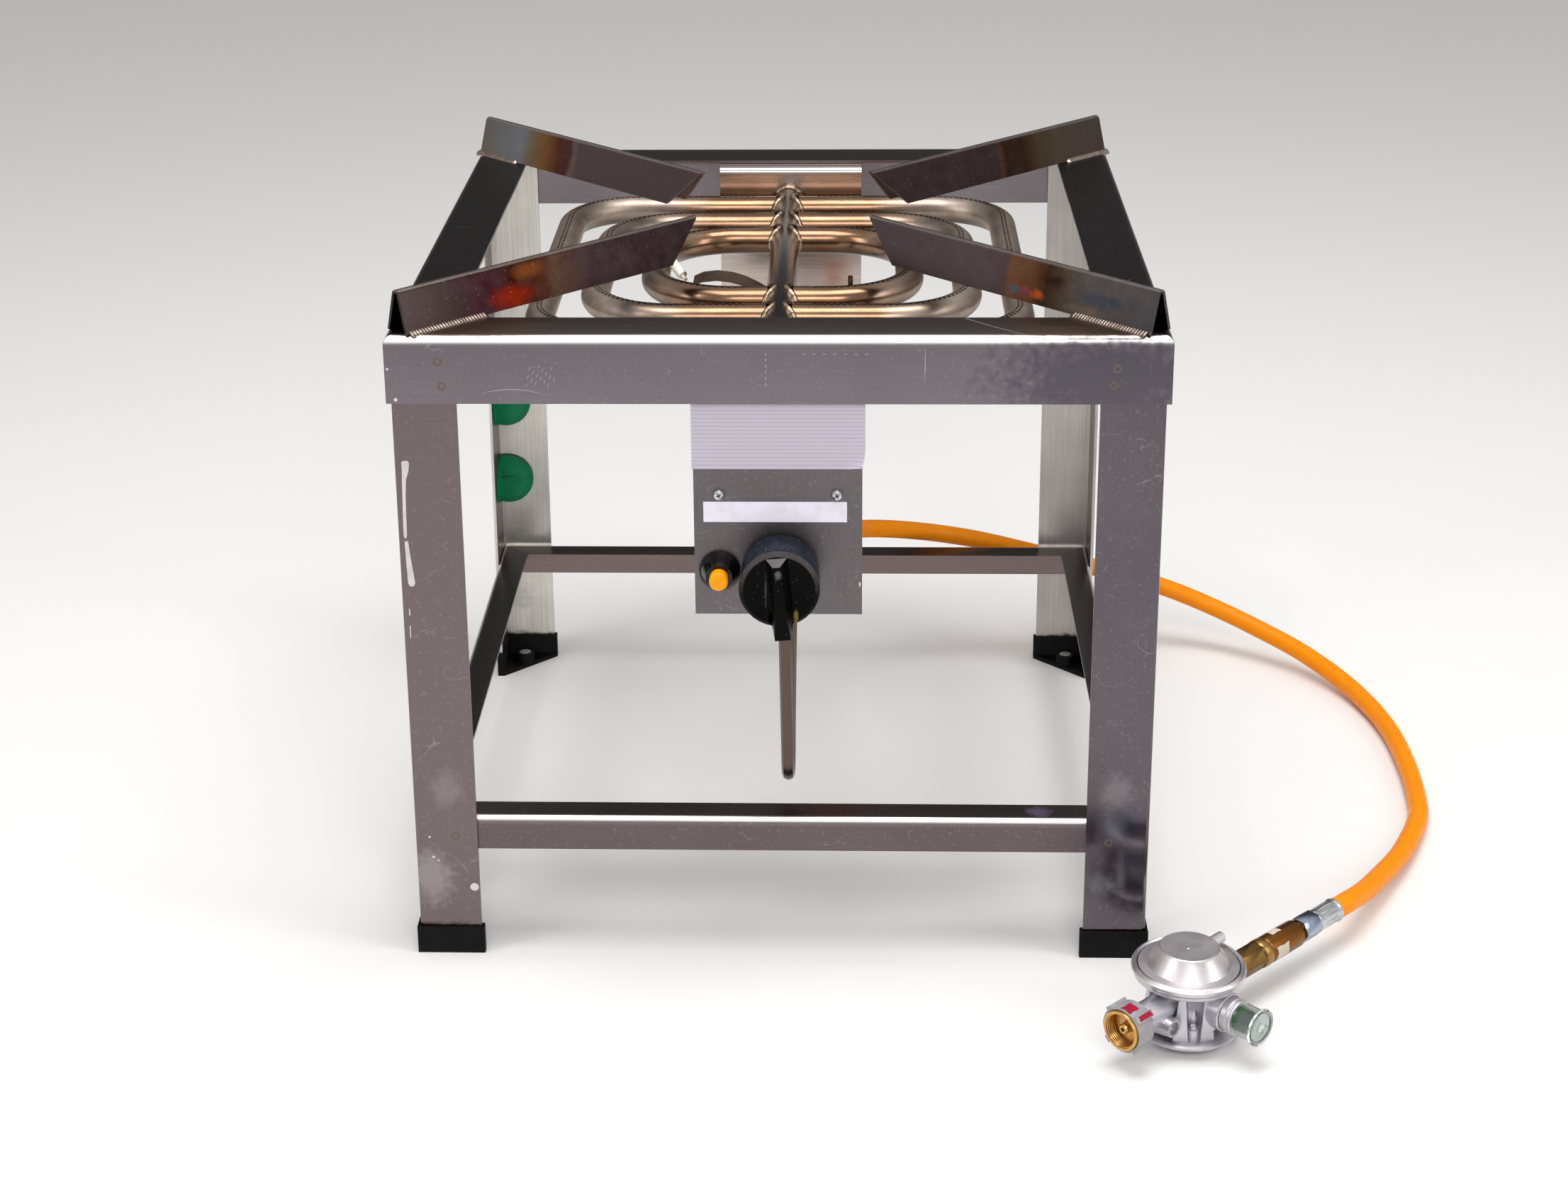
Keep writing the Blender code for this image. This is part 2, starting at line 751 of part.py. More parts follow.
def build_valve(builder):
    start = PANEL_BACK_Y + GAP
    valve = builder.place(
        "gas_valve",
        box_mesh(
            "gas_valve",
            (KNOB_X - 0.0165, start, VALVE_LOW_Z),
            (KNOB_X + 0.0165, VALVE_BACK_Y, VALVE_HIGH_Z),
        ),
        "brass",
    )
    soften = valve.modifiers.new("soften", "BEVEL")
    soften.width = 0.0020
    soften.segments = 2
    arm = builder.tool(
        "add_valve_arm",
        rod_mesh("add_valve_arm", 0.0080, 0.0300, 24),
        (KNOB_X + 0.0090, -0.1975, KNOB_Z),
        (0, math.radians(90), 0),
    )
    port = builder.tool(
        "add_valve_port",
        rod_mesh("add_valve_port", 0.0072, 0.0180, 24),
        (HOSE_EXIT[0], -0.1985, KNOB_Z),
        BACKWARD,
    )
    builder.join(valve, arm, port)
    bore = builder.tool(
        "cut_valve_spindle",
        rod_mesh("cut_valve_spindle", SPINDLE_RADIUS + GAP, 0.030, 24),
        (KNOB_X, start + 0.0115, KNOB_Z),
        FORWARD,
    )
    builder.cut(valve, bore)


def knob_bar_mesh(name):
    """Grip bar: narrow crest that widens downwards, sloped sides and a steep facet on top."""
    bm = bmesh.new()
    bmesh.ops.create_cube(bm, size=1.0)
    root = KNOB_FACE - KNOB_BAR_ROOT
    crest = KNOB_FACE + KNOB_BAR
    corners = {
        (True, True): (0.0020, KNOB_BAR_TOP, crest),
        (True, False): (0.0090, KNOB_RADIUS - 0.0021, root),
        (False, True): (0.0046, -KNOB_BAR_LOW, crest),
        (False, False): (0.0064, -KNOB_RADIUS + 0.0004, root),
    }
    for vertex in bm.verts:
        right, up, front = (value > 0 for value in vertex.co)
        half_width, y, z = corners[up, front]
        vertex.co = (half_width if right else -half_width, y, z)
    return mesh_from(bm, name)


def build_knob(builder):
    spindle = lathe(
        builder,
        "valve_spindle",
        [
            (0, 0.0180),
            (SPINDLE_RADIUS - 0.0005, 0.0180),
            (SPINDLE_RADIUS, 0.0175),
            (SPINDLE_RADIUS, -0.0095),
            (0, -0.0095),
        ],
        "zinc",
        24,
        location=(KNOB_X, PANEL_FRONT_Y, KNOB_Z),
        rotation=FORWARD,
    )
    rear = KNOB_GAP
    face = KNOB_FACE
    radius = KNOB_RADIUS
    body = [
        (0, face - 0.0012),
        (0.0150, face - 0.0012),
        (radius - KNOB_CHAMFER - 0.0016, face),
        (radius - KNOB_CHAMFER, face),
        (radius, face - KNOB_CHAMFER),
        (radius - 0.0006, rear + 0.0010),
        (radius - 0.0012, rear),
        (0, rear),
    ]
    knob = lathe(builder, "knob", body, "knob", 36, parent=spindle)
    lean = (0, 0, KNOB_BAR_LEAN)
    bar = builder.tool(
        "add_knob_bar", knob_bar_mesh("add_knob_bar"), rotation=lean, parent=knob
    )
    bore = builder.tool(
        "cut_knob_bore",
        rod_mesh("cut_knob_bore", SPINDLE_RADIUS + GAP, 0.0203, 24),
        (0, 0, -0.0020),
        parent=knob,
    )
    builder.join(knob, bar)
    builder.cut(knob, bore)
    groove_length = KNOB_GROOVE_TOP + KNOB_BAR_LOW
    for side in (-1, 1):
        name = "cut_knob_groove_" + ("left" if side < 0 else "right")
        start = Vector((side * KNOB_GROOVE_X, -KNOB_BAR_LOW, face))
        start.rotate(Euler(lean))
        cutter = builder.tool(
            name,
            rod_mesh(name, KNOB_GROOVE_DEPTH, groove_length, 4, 0.0003),
            start,
            (math.radians(-90), 0, KNOB_BAR_LEAN),
            knob,
        )
        builder.cut(knob, cutter)


def build_pipe(builder):
    """Pipe from the valve down round a U bend and up to the injector."""
    turn = [
        (
            PIPE_LOW_X,
            PIPE_FRONT_Y + PIPE_BEND - PIPE_BEND * math.cos(t),
            PIPE_LOW_Z - PIPE_BEND * math.sin(t),
        )
        for t in np.linspace(0, math.pi, 13)
    ]
    rear_y = PIPE_FRONT_Y + 2 * PIPE_BEND
    points = [
        (PIPE_FRONT_X, PIPE_FRONT_Y, PIPE_TOP_FRONT_Z - 0.0004),
        (PIPE_FRONT_X, PIPE_FRONT_Y, PIPE_TOP_FRONT_Z - 0.0180),
        *turn,
        (PIPE_REAR_X, rear_y, 0.2150),
        (PIPE_REAR_X - 0.0005, rear_y, 0.2300),
        (MIXER_X + 0.0008, MIXER_Y, 0.2500),
        (MIXER_X, MIXER_Y, 0.2620),
        (MIXER_X, MIXER_Y, PIPE_TOP_REAR_Z),
    ]
    mesh = mesh_of_curve("gas_pipe", tube_curve("gas_pipe", points, PIPE_RADIUS, 2))
    builder.place("gas_pipe", mesh, "copper")
    build_nut(
        builder,
        "pipe_nut_valve",
        "brass",
        0.0130,
        0.0125,
        PIPE_RADIUS + GAP,
        location=(PIPE_FRONT_X, PIPE_FRONT_Y, VALVE_LOW_Z - GAP - 0.0125),
    )
    build_nut(
        builder,
        "pipe_nut_injector",
        "brass",
        0.0130,
        0.0120,
        PIPE_RADIUS + GAP,
        location=(MIXER_X, MIXER_Y, PIPE_TOP_REAR_Z - 0.0120),
    )


# --- ignition ----------------------------------------------------------------------------
def build_piezo(builder):
    """Conical bezel and threaded barrel through the panel, ring nut behind, sprung button."""
    neck = 0.0061
    mouth = 0.0078
    depth = 0.0120
    bore = PIEZO_BUTTON_RADIUS + GAP
    profile = [
        (0, depth),
        (mouth, depth),
        (PIEZO_RADIUS, 0.0024),
        (PIEZO_RADIUS, GAP),
        (neck, GAP),
        (neck, -0.0440),
        (0, -0.0440),
    ]
    barrel = lathe(
        builder,
        "piezo_igniter",
        profile,
        "knob",
        28,
        location=(PIEZO_X, PANEL_FRONT_Y, PIEZO_Z),
        rotation=FORWARD,
    )
    well = builder.tool(
        "cut_button_well",
        rod_mesh("cut_button_well", bore, 0.02, 24),
        (0, 0, 0.0008),
        parent=barrel,
    )
    builder.cut(barrel, well)
    lathe(
        builder,
        "piezo_button",
        [
            (0, PIEZO_REACH),
            (PIEZO_BUTTON_RADIUS - 0.0006, PIEZO_REACH),
            (PIEZO_BUTTON_RADIUS, PIEZO_REACH - 0.0006),
            (PIEZO_BUTTON_RADIUS, 0.0058),
            (0, 0.0058),
        ],
        "button",
        24,
        location=(PIEZO_X, PANEL_FRONT_Y, PIEZO_Z),
        rotation=FORWARD,
    )
    build_nut(
        builder,
        "piezo_ring_nut",
        "zinc",
        0.0180,
        0.0040,
        neck + GAP,
        location=(PIEZO_X, PANEL_BACK_Y + GAP, PIEZO_Z),
        rotation=BACKWARD,
    )


ELECTRODE_LOW = Vector((-0.0650, -0.0270, 0.3780))
ELECTRODE_HIGH = Vector((-0.0722, -0.0172, 0.3845))
STRAP_MIDDLE_Y = -0.0250
STRAP_WIDTH = 0.0200
STRAP_SHEET = 0.0014


def build_ignition(builder):
    """Ceramic electrode, the arched strap that holds it and the flame probe."""
    along = ELECTRODE_HIGH - ELECTRODE_LOW
    length = along.length
    ceramic = 0.0031
    lathe(
        builder,
        "electrode",
        [
            (0, length),
            (ceramic - 0.0004, length),
            (ceramic, length - 0.0004),
            (ceramic, 0),
            (0.0012, 0),
            (0.0012, -0.0040),
            (0, -0.0040),
        ],
        "ceramic",
        20,
        location=ELECTRODE_LOW,
        rotation=along.to_track_quat("Z", "Y").to_euler(),
    )
    start = BURNER_X - MANIFOLD_RADIUS - GAP
    crest = [
        (start, 0.3670),
        (start - 0.0060, 0.3705),
        (start - 0.0140, 0.3745),
        (start - 0.0230, 0.3772),
        (start - 0.0320, 0.3782),
        (start - 0.0410, 0.3772),
        (start - 0.0470, 0.3745),
    ]
    under = [(x, z - STRAP_SHEET) for x, z in reversed(crest)]
    strap = outline_mesh("electrode_strap", crest + under, STRAP_WIDTH)
    builder.place(
        "electrode_strap",
        strap,
        "straw",
        (0, STRAP_MIDDLE_Y, 0),
        FORWARD,
    )
    probe = [
        (0.0420, -0.0555, 0.3860),
        (0.0420, -0.0555, 0.3500),
        (0.0415, -0.0570, 0.3380),
        (0.0380, -0.0680, 0.3200),
        (0.0300, -0.0900, 0.3000),
        (0.0190, -0.1180, 0.2830),
        (0.0120, -0.1420, 0.2720),
        (0.0090, -0.1640, 0.2660),
        (0.0080, VALVE_BACK_Y + GAP, 0.2640),
    ]
    wire = tube_curve("flame_probe", smooth_route(probe, 0.011), 0.0016, 2)
    mesh = mesh_of_curve("flame_probe", wire)
    builder.place("flame_probe", mesh, "copper")


# --- hose --------------------------------------------------------------------------------
def smooth_route(points, step):
    """Points about `step` apart on a Catmull-Rom curve through the given points."""
    knots = [np.array(point, float) for point in points]
    knots = [2 * knots[0] - knots[1], *knots, 2 * knots[-1] - knots[-2]]
    fine = []
    for before, start, end, after in zip(knots, knots[1:], knots[2:], knots[3:]):
        for t in np.linspace(0, 1, 24, endpoint=False):
            fine.append(
                0.5
                * (
                    2 * start
                    + (end - before) * t
                    + (2 * before - 5 * start + 4 * end - after) * t**2
                    + (3 * start - before - 3 * end + after) * t**3
                )
            )
    fine.append(knots[-2])
    fine = np.array(fine)
    walked = np.concatenate([[0], np.cumsum(np.linalg.norm(np.diff(fine, axis=0), axis=1))])
    count = max(2, round(walked[-1] / step) + 1)
    at = np.linspace(0, walked[-1], count)
    return [tuple(np.interp(at, walked, fine[:, axis])[i] for axis in range(3)) for i in range(count)]


def regulator_point(along, across=0.0, up=REG_OUTLET_Z):
    """A point of the regulator's frame, in the frame of the stand."""
    cos, sin = math.cos(REG_TURN), math.sin(REG_TURN)
    return (
        REG_CENTRE[0] + along * cos - across * sin,
        REG_CENTRE[1] + along * sin + across * cos,
        up,
    )


def build_hose(builder):
    start = HOSE_EXIT
    lead_in = (start[0], start[1] + HOSE_LEAD, start[2])
    end = regulator_point(FERRULE_END + GAP)
    lead_out = regulator_point(FERRULE_END + HOSE_LEAD)
    route = smooth_route([lead_in, *HOSE_ROUTE, lead_out], HOSE_STEP)
    points = [start, *route, end]
    builder.place("hose", tube_curve("hose", points, HOSE_RADIUS, 2), "hose")
    crimp = 0.0078
    tail = HOSE_EXIT[1] - GAP
    face = -0.1985 + 0.0180 + GAP
    length = tail - face
    fitting = lathe(
        builder,
        "hose_end_valve",
        [
            (0, length),
            (crimp - 0.0004, length),
            (crimp, length - 0.0006),
            (crimp, length - 0.0018),
            (crimp - 0.0006, length - 0.0024),
            (crimp - 0.0006, 0.0110),
            (0, 0.0110),
        ],
        "zinc",
        24,
        location=(HOSE_EXIT[0], face, HOSE_EXIT[2]),
        rotation=BACKWARD,
    )
    flats = builder.tool(
        "add_hose_end_flats", hex_mesh("add_hose_end_flats", 0.0160, 0.0118), parent=fitting
    )
    builder.join(fitting, flats)


# --- regulator ---------------------------------------------------------------------------
ALONG_OUT = (0, math.radians(90), 0)  # local Z to the frame's +X
ALONG_IN = (0, math.radians(-90), 0)
ALONG_SIGHT = (math.radians(90), 0, 0)  # local Z to the frame's -Y


def rib_mesh(name):
    """Cast rib along local X: wide spreading foot, narrow under the flange."""
    bm = bmesh.new()
    bmesh.ops.create_cube(bm, size=1.0)
    for vertex in bm.verts:
        outside, left, up = (value > 0 for value in vertex.co)
        half_width = 0.0016 if up else 0.0046
        reach = 0.0238 if up else 0.0262
        vertex.co = (
            reach if outside else 0.0100,
            half_width if left else -half_width,
            REG_FLANGE_Z - 0.0024 if up else 0.0070,
        )
    return mesh_from(bm, name)


def build_regulator_body(builder):
    """Casting: base disc, ribbed waist, flared top, three arms, a stud and the test port."""
    profile = [
        (0, REG_FLANGE_Z - GAP),
        (0.0316, REG_FLANGE_Z - GAP),
        (0.0316, REG_FLANGE_Z - 0.0020),
        (0.0306, REG_FLANGE_Z - 0.0030),
        (0.0240, REG_FLANGE_Z - 0.0060),
        (0.0185, 0.0270),
        (0.0180, 0.0150),
        (0.0205, 0.0104),
        (REG_BASE_RADIUS - 0.0012, 0.0090),
        (REG_BASE_RADIUS, 0.0080),
        (REG_BASE_RADIUS, 0.0066),
        (REG_BASE_RADIUS - 0.0016, 0.0050),
        (REG_BASE_RADIUS - 0.0085, 0.0008),
        (REG_BASE_RADIUS - 0.0096, 0),
        (0, 0),
    ]
    body = lathe(builder, "regulator_body", profile, "casting", 28)
    arms = (
        ("inlet", ARM_RADIUS + 0.0008, ARM_END, REG_AXIS_Z, ALONG_IN),
        ("outlet", ARM_RADIUS, ADAPTER_START - GAP, REG_OUTLET_Z, ALONG_OUT),
        ("sight", 0.0116, 0.0300, REG_SIGHT_Z, ALONG_SIGHT),
        ("sight_collar", 0.0104, SIGHT_START - GAP, REG_SIGHT_Z, ALONG_SIGHT),
    )
    for label, radius, length, height, heading in arms:
        name = "add_arm_" + label
        arm = builder.tool(name, rod_mesh(name, radius, length, 20), (0, 0, height), heading)
        builder.join(body, arm)
    test_port = builder.tool(
        "add_test_port",
        rod_mesh("add_test_port", TEST_PORT_ROOT, TEST_PORT_END + 0.0080, 20, TEST_PORT_RADIUS),
        (-TEST_PORT_IN, 0.0080, TEST_PORT_Z),
        ALONG_SIGHT,
    )
    builder.join(body, test_port)
    for label, turn in (("a", -62), ("b", -114), ("c", -149), ("d", 30), ("e", 90), ("f", 150)):
        name = "add_rib_" + label
        rib = builder.tool(name, rib_mesh(name), rotation=(0, 0, math.radians(turn)))
        builder.join(body, rib)
    turn = math.radians(REG_BOSS_TURN)
    stud = lathe(
        builder,
        "add_stud",
        [
            (0, 0.0182),
            (0.0018, 0.0182),
            (0.0022, 0.0168),
            (0.0033, 0.0162),
            (0.0036, 0.0088),
            (0, 0.0088),
        ],
        None,
        12,
        location=(REG_BOSS_REACH * math.cos(turn), REG_BOSS_REACH * math.sin(turn), 0),
    )
    builder.join(body, stud)
    test_bore = builder.tool(
        "cut_test_port",
        rod_mesh("cut_test_port", 0.0038, 0.0100, 20),
        (-TEST_PORT_IN, 0.0040 - TEST_PORT_END, TEST_PORT_Z),
        ALONG_SIGHT,
    )
    builder.cut(body, test_bore)


def build_regulator_cover(builder):
    """Diaphragm cover: rolled rim, groove, flat ring, cone and round top, with a vent stub."""
    rim = REG_FLANGE_RADIUS
    low = REG_FLANGE_Z
    profile = [
        (0, REG_TOP_Z),
        (0.0168, REG_TOP_Z),
        (0.0175, REG_TOP_Z - 0.0005),
        (0.0178, REG_TOP_Z - 0.0013),
        (0.0243, low + 0.0050),
        (0.0292, low + 0.0046),
        (0.0297, low + 0.0036),
        (0.0303, low + 0.0046),
        (0.0312, low + 0.0053),
        (rim - 0.0008, low + 0.0046),
        (rim, low + 0.0034),
        (rim, low + 0.0018),
        (rim - 0.0006, low + 0.0006),
        (rim - 0.0014, low),
        (0, low),
    ]
    cover = lathe(builder, "regulator_cover", profile, "casting", 34)
    vent = builder.tool(
        "add_vent",
        rod_mesh("add_vent", 0.0033, 0.0120, 20),
        (0.0178, 0, REG_TOP_Z - 0.0058),
        ALONG_OUT,
    )
    builder.join(cover, vent)


def build_outlet(builder):
    """Brass safety adapter, swivel nut and crimped ferrule, in line towards the hose."""
    start = ADAPTER_START
    radius = ADAPTER_RADIUS
    neck = 0.0058
    collar = radius + 0.0002
    profile = [
        (0, ADAPTER_END - start),
        (neck, ADAPTER_END - start),
        (neck, 0.0600),
        (radius - 0.0010, 0.0594),
        (radius, 0.0580),
        (radius, 0.0292),
        (radius - 0.0006, 0.0286),
        (collar, 0.0278),
        (collar, 0.0224),
        (collar - 0.0006, 0.0212),
        (0, 0.0212),
    ]
    adapter = lathe(
        builder,
        "safety_adapter",
        profile,
        "brass",
        24,
        location=(start, 0, REG_OUTLET_Z),
        rotation=ALONG_OUT,
    )
    flats = builder.tool(
        "add_adapter_flats", hex_mesh("add_adapter_flats", ADAPTER_HEX, 0.0216), parent=adapter
    )
    builder.join(adapter, flats)
    nut_length = SWIVEL_END - ADAPTER_END - GAP
    nut = builder.place(
        "swivel_nut",
        hex_mesh("swivel_nut", 0.0142, nut_length),
        "zinc",
        (ADAPTER_END + GAP, 0, REG_OUTLET_Z),
        ALONG_OUT,
    )
    chamfer = builder.tool(
        "trim_swivel_nut",
        rod_mesh("trim_swivel_nut", 0.0079, nut_length + 0.002, 32),
        (0, 0, -0.001),
        parent=nut,
    )
    builder.combine(nut, chamfer, "INTERSECT")
    ferrule_start = SWIVEL_END + GAP
    length = FERRULE_END - ferrule_start
    outer = 0.0073
    lathe(
        builder,
        "hose_ferrule",
        [
            (0, length),
            (outer - 0.0003, length),
            (outer + 0.0002, length - 0.0006),
            (outer + 0.0002, length - 0.0016),
            (outer - 0.0006, length - 0.0024),
            (outer - 0.0006, 0.0030),
            (outer, 0.0022),
            (outer, 0.0004),
            (outer - 0.0004, 0),
            (0, 0),
        ],
        "zinc",
        24,
        location=(ferrule_start, 0, REG_OUTLET_Z),
        rotation=ALONG_OUT,
    )


def build_inlet(builder):
    """Nipple, threaded cylinder nut and the winged plastic wheel round it."""
    nipple = 0.0032
    tip = 0.0585
    flange = 0.0100
    nipple_start = ARM_END + GAP
    lathe(
        builder,
        "inlet_nipple",
        [
            (0, tip),
            (nipple - 0.0008, tip),
            (nipple, tip - 0.0010),
            (nipple, WHEEL_START - 0.0008),
            (flange * 0.62, WHEEL_START - 0.0008),
            (flange * 0.62, nipple_start),
            (0, nipple_start),
        ],
        "brass",
        24,
        location=(0, 0, REG_AXIS_Z),
        rotation=ALONG_IN,
    )
    clear = nipple + GAP
    thread = NUT_RADIUS - 0.0015
    nut = lathe(
        builder,
        "cylinder_nut",
        [
            (clear, NUT_START + 0.0030),
            (thread, NUT_START + 0.0030),
            (thread, NUT_END),
            (NUT_RADIUS, NUT_END),
            (NUT_RADIUS, NUT_START),
            (clear, NUT_START),
        ],
        "brass",
        28,
        location=(0, 0, REG_AXIS_Z),
        rotation=ALONG_IN,
    )
    inner = NUT_RADIUS + GAP
    wheel = lathe(
        builder,
        "hand_wheel",
        [
            (clear, WHEEL_START + 0.0030),
            (inner, WHEEL_START + 0.0030),
            (inner, WHEEL_END),
            (WHEEL_RADIUS, WHEEL_END),
            (WHEEL_RADIUS, WHEEL_START + 0.0015),
            (WHEEL_RADIUS - 0.0015, WHEEL_START),
            (clear, WHEEL_START),
        ],
        "grey",
        28,
        parent=nut,
    )
    for index in range(4):
        name = "add_wing_" + str(index)
        wing = builder.tool(
            name,
            box_mesh(
                name,
                (WHEEL_RADIUS - 0.0010, -0.0021, WHEEL_START + 0.0002),
                (WING_RADIUS, 0.0021, WHEEL_END - 0.0002),
            ),
            rotation=(0, 0, math.radians(45 + 90 * index)),
            parent=wheel,
        )
        builder.join(wheel, wing)


def build_sight(builder):
    """Clear cap with an outer flange and a nub, over the pressure indicator."""
    wall = 0.0016
    barrel = 0.0098
    cap = [
        (0, SIGHT_END + 0.0028),
        (0.0026, SIGHT_END + 0.0028),
        (0.0030, SIGHT_END),
        (0.0080, SIGHT_END),
        (0.0111, SIGHT_END - 0.0006),
        (0.0113, SIGHT_END - 0.0020),
        (barrel, SIGHT_END - 0.0028),
        (barrel, SIGHT_START),
        (barrel - wall, SIGHT_START),
        (barrel - wall, SIGHT_END - 0.0035),
        (0, SIGHT_END - 0.0035),
    ]
    lathe(
        builder, "sight_cap", cap, "clear", 24, location=(0, 0, REG_SIGHT_Z), rotation=ALONG_SIGHT
    )
    lathe(
        builder,
        "pressure_indicator",
        [(0, 0.0450), (0.0066, 0.0450), (0.0070, 0.0444), (0.0070, SIGHT_START), (0, SIGHT_START)],
        "green",
        20,
        location=(0, 0, REG_SIGHT_Z),
        rotation=ALONG_SIGHT,
    )


def build_regulator(builder):
    builder.parent = builder.empty(
        "regulator_frame", builder.root, (*REG_CENTRE, 0), (0, 0, REG_TURN)
    )
    build_regulator_body(builder)
    build_regulator_cover(builder)
    build_outlet(builder)
    build_inlet(builder)
    build_sight(builder)
    builder.parent = builder.root


def main():
    builder = Builder()
    apron = angle_outline(APRON_FLANGE, APRON_HEIGHT, SHEET, APRON_BEND)
    rail = angle_outline(RAIL_FLANGE, RAIL_WEB, SHEET, RAIL_BEND)
    build_ring(builder, "apron", HALF, TOP_Z, apron, "steel")
    build_ring(builder, "lower_rail", RAIL_OUT, RAIL_TOP_Z, rail, "steel")
    build_legs(builder)
    build_foot_caps(builder)
    build_pot_bars(builder)
    build_front_panel(builder)
    build_rear_plate(builder)
    build_burner_bracket(builder)
    build_panel_screws(builder)
    build_rings(builder)
    build_manifold(builder)
    build_mixer(builder)
    build_injector(builder)
    build_valve(builder)
    build_knob(builder)
    build_pipe(builder)
    build_piezo(builder)
    build_ignition(builder)
    build_hose(builder)
    build_regulator(builder)


main()
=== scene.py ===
"""Looks of a propane burner stand, built round its packed construction model.

Metres, +Z up, front towards -Y. Names that end in _mm or _MM hold real sizes in millimetres.
"""

import logging
import math
from dataclasses import dataclass, field
from enum import Enum
from typing import Sequence

import bmesh
import bpy
import numpy as np
from mathutils import Matrix, Vector


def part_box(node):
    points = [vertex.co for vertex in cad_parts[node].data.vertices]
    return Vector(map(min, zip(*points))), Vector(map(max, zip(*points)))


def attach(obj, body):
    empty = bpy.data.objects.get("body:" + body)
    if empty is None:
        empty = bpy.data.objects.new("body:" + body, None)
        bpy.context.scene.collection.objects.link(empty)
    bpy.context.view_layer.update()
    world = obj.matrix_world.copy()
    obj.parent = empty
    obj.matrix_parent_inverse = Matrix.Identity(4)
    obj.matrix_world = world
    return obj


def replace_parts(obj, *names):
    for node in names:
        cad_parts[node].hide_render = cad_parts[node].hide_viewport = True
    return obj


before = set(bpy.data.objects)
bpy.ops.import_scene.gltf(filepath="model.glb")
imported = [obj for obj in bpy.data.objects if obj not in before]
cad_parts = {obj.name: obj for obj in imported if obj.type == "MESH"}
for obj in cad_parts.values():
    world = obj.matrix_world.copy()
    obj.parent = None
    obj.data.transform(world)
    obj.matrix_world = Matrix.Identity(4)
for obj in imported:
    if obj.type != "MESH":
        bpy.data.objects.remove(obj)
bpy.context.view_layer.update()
LOG = logging.getLogger("burner_stand")

Colour = tuple[float, float, float, float]
Point = tuple[float, float, float]
Pair = tuple[float, float]
Node = bpy.types.Node
Socket = bpy.types.NodeSocket
Tree = bpy.types.NodeTree
Tone = Socket | Colour

MM = 0.001
CENTRE_Y = (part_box("apron_front")[0].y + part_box("apron_rear")[1].y) / 2
FRAME_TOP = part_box("apron_front")[1].z
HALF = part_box("apron_right")[1].x
PANEL_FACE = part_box("front_panel")[0].y
SKIN = 0.15 * MM  # how far a label stands proud of the sheet that carries it
SHARP = math.radians(32)  # edges steeper than this stay sharp
UP, RIGHT, FRONT = Vector((0, 0, 1)), Vector((1, 0, 0)), Vector((0, -1, 0))
ALONG_X_MM, ALONG_Y_MM, ALONG_Z_MM = (60.0, 0.9, 0.9), (0.9, 60.0, 0.9), (0.9, 0.9, 60.0)


class Body(Enum):
    """The bodies that the scene's own pieces ride on."""

    STAND = "stand"
    UNION = "cylinder_union"


# --- nodes and colours -------------------------------------------------------------------
def linear(shade: str) -> Colour:
    """Turns an sRGB hex value to linear light.

    Args:
        shade: Colour such as "#8a8286".

    Returns:
        Red, green, blue and alpha in linear light.
    """
    channels = [int(shade[i : i + 2], 16) / 255 for i in (1, 3, 5)]
    light = [c / 12.92 if c <= 0.04045 else ((c + 0.055) / 1.055) ** 2.4 for c in channels]
    return (light[0], light[1], light[2], 1.0)


def add_node(
    tree: Tree, kind: str, inputs: dict | None = None, stops: Sequence = (), **settings: object
) -> Sequence[Socket]:
    """Adds one node with its settings and links.

    Args:
        tree: Node tree that takes the node.
        kind: Type name of the node.
        inputs: Value or output socket for each input, by name or index.
        stops: Places and colours of a colour ramp.
        **settings: Attributes of the node.

    Returns:
        The outputs of the new node.
    """
    made = tree.nodes.new(kind)
    for name, value in settings.items():
        setattr(made, name, value)
    for name, value in (inputs or {}).items():
        if isinstance(value, Socket):
            tree.links.new(value, made.inputs[name])
        else:
            made.inputs[name].default_value = value
    for index, (place, colour) in enumerate(stops):
        ramp = made.color_ramp.elements
        stop = ramp[index] if index < 2 else ramp.new(place)
        stop.position, stop.color = place, colour
    return made.outputs


@dataclass(frozen=True)
class Stain:
    """A soft mark round a place.

    Attributes:
        centre: Middle of the mark, in metres.
        reach: Half sizes of the mark along X, Y and Z, in metres.
        shade: Colour of the mark.
        strength: Share of the mark's colour at its middle.
        ragged: How far noise breaks up the edge.
    """

    centre: Point
    reach: Point
    shade: str
    strength: float = 0.9
    ragged: float = 0.7


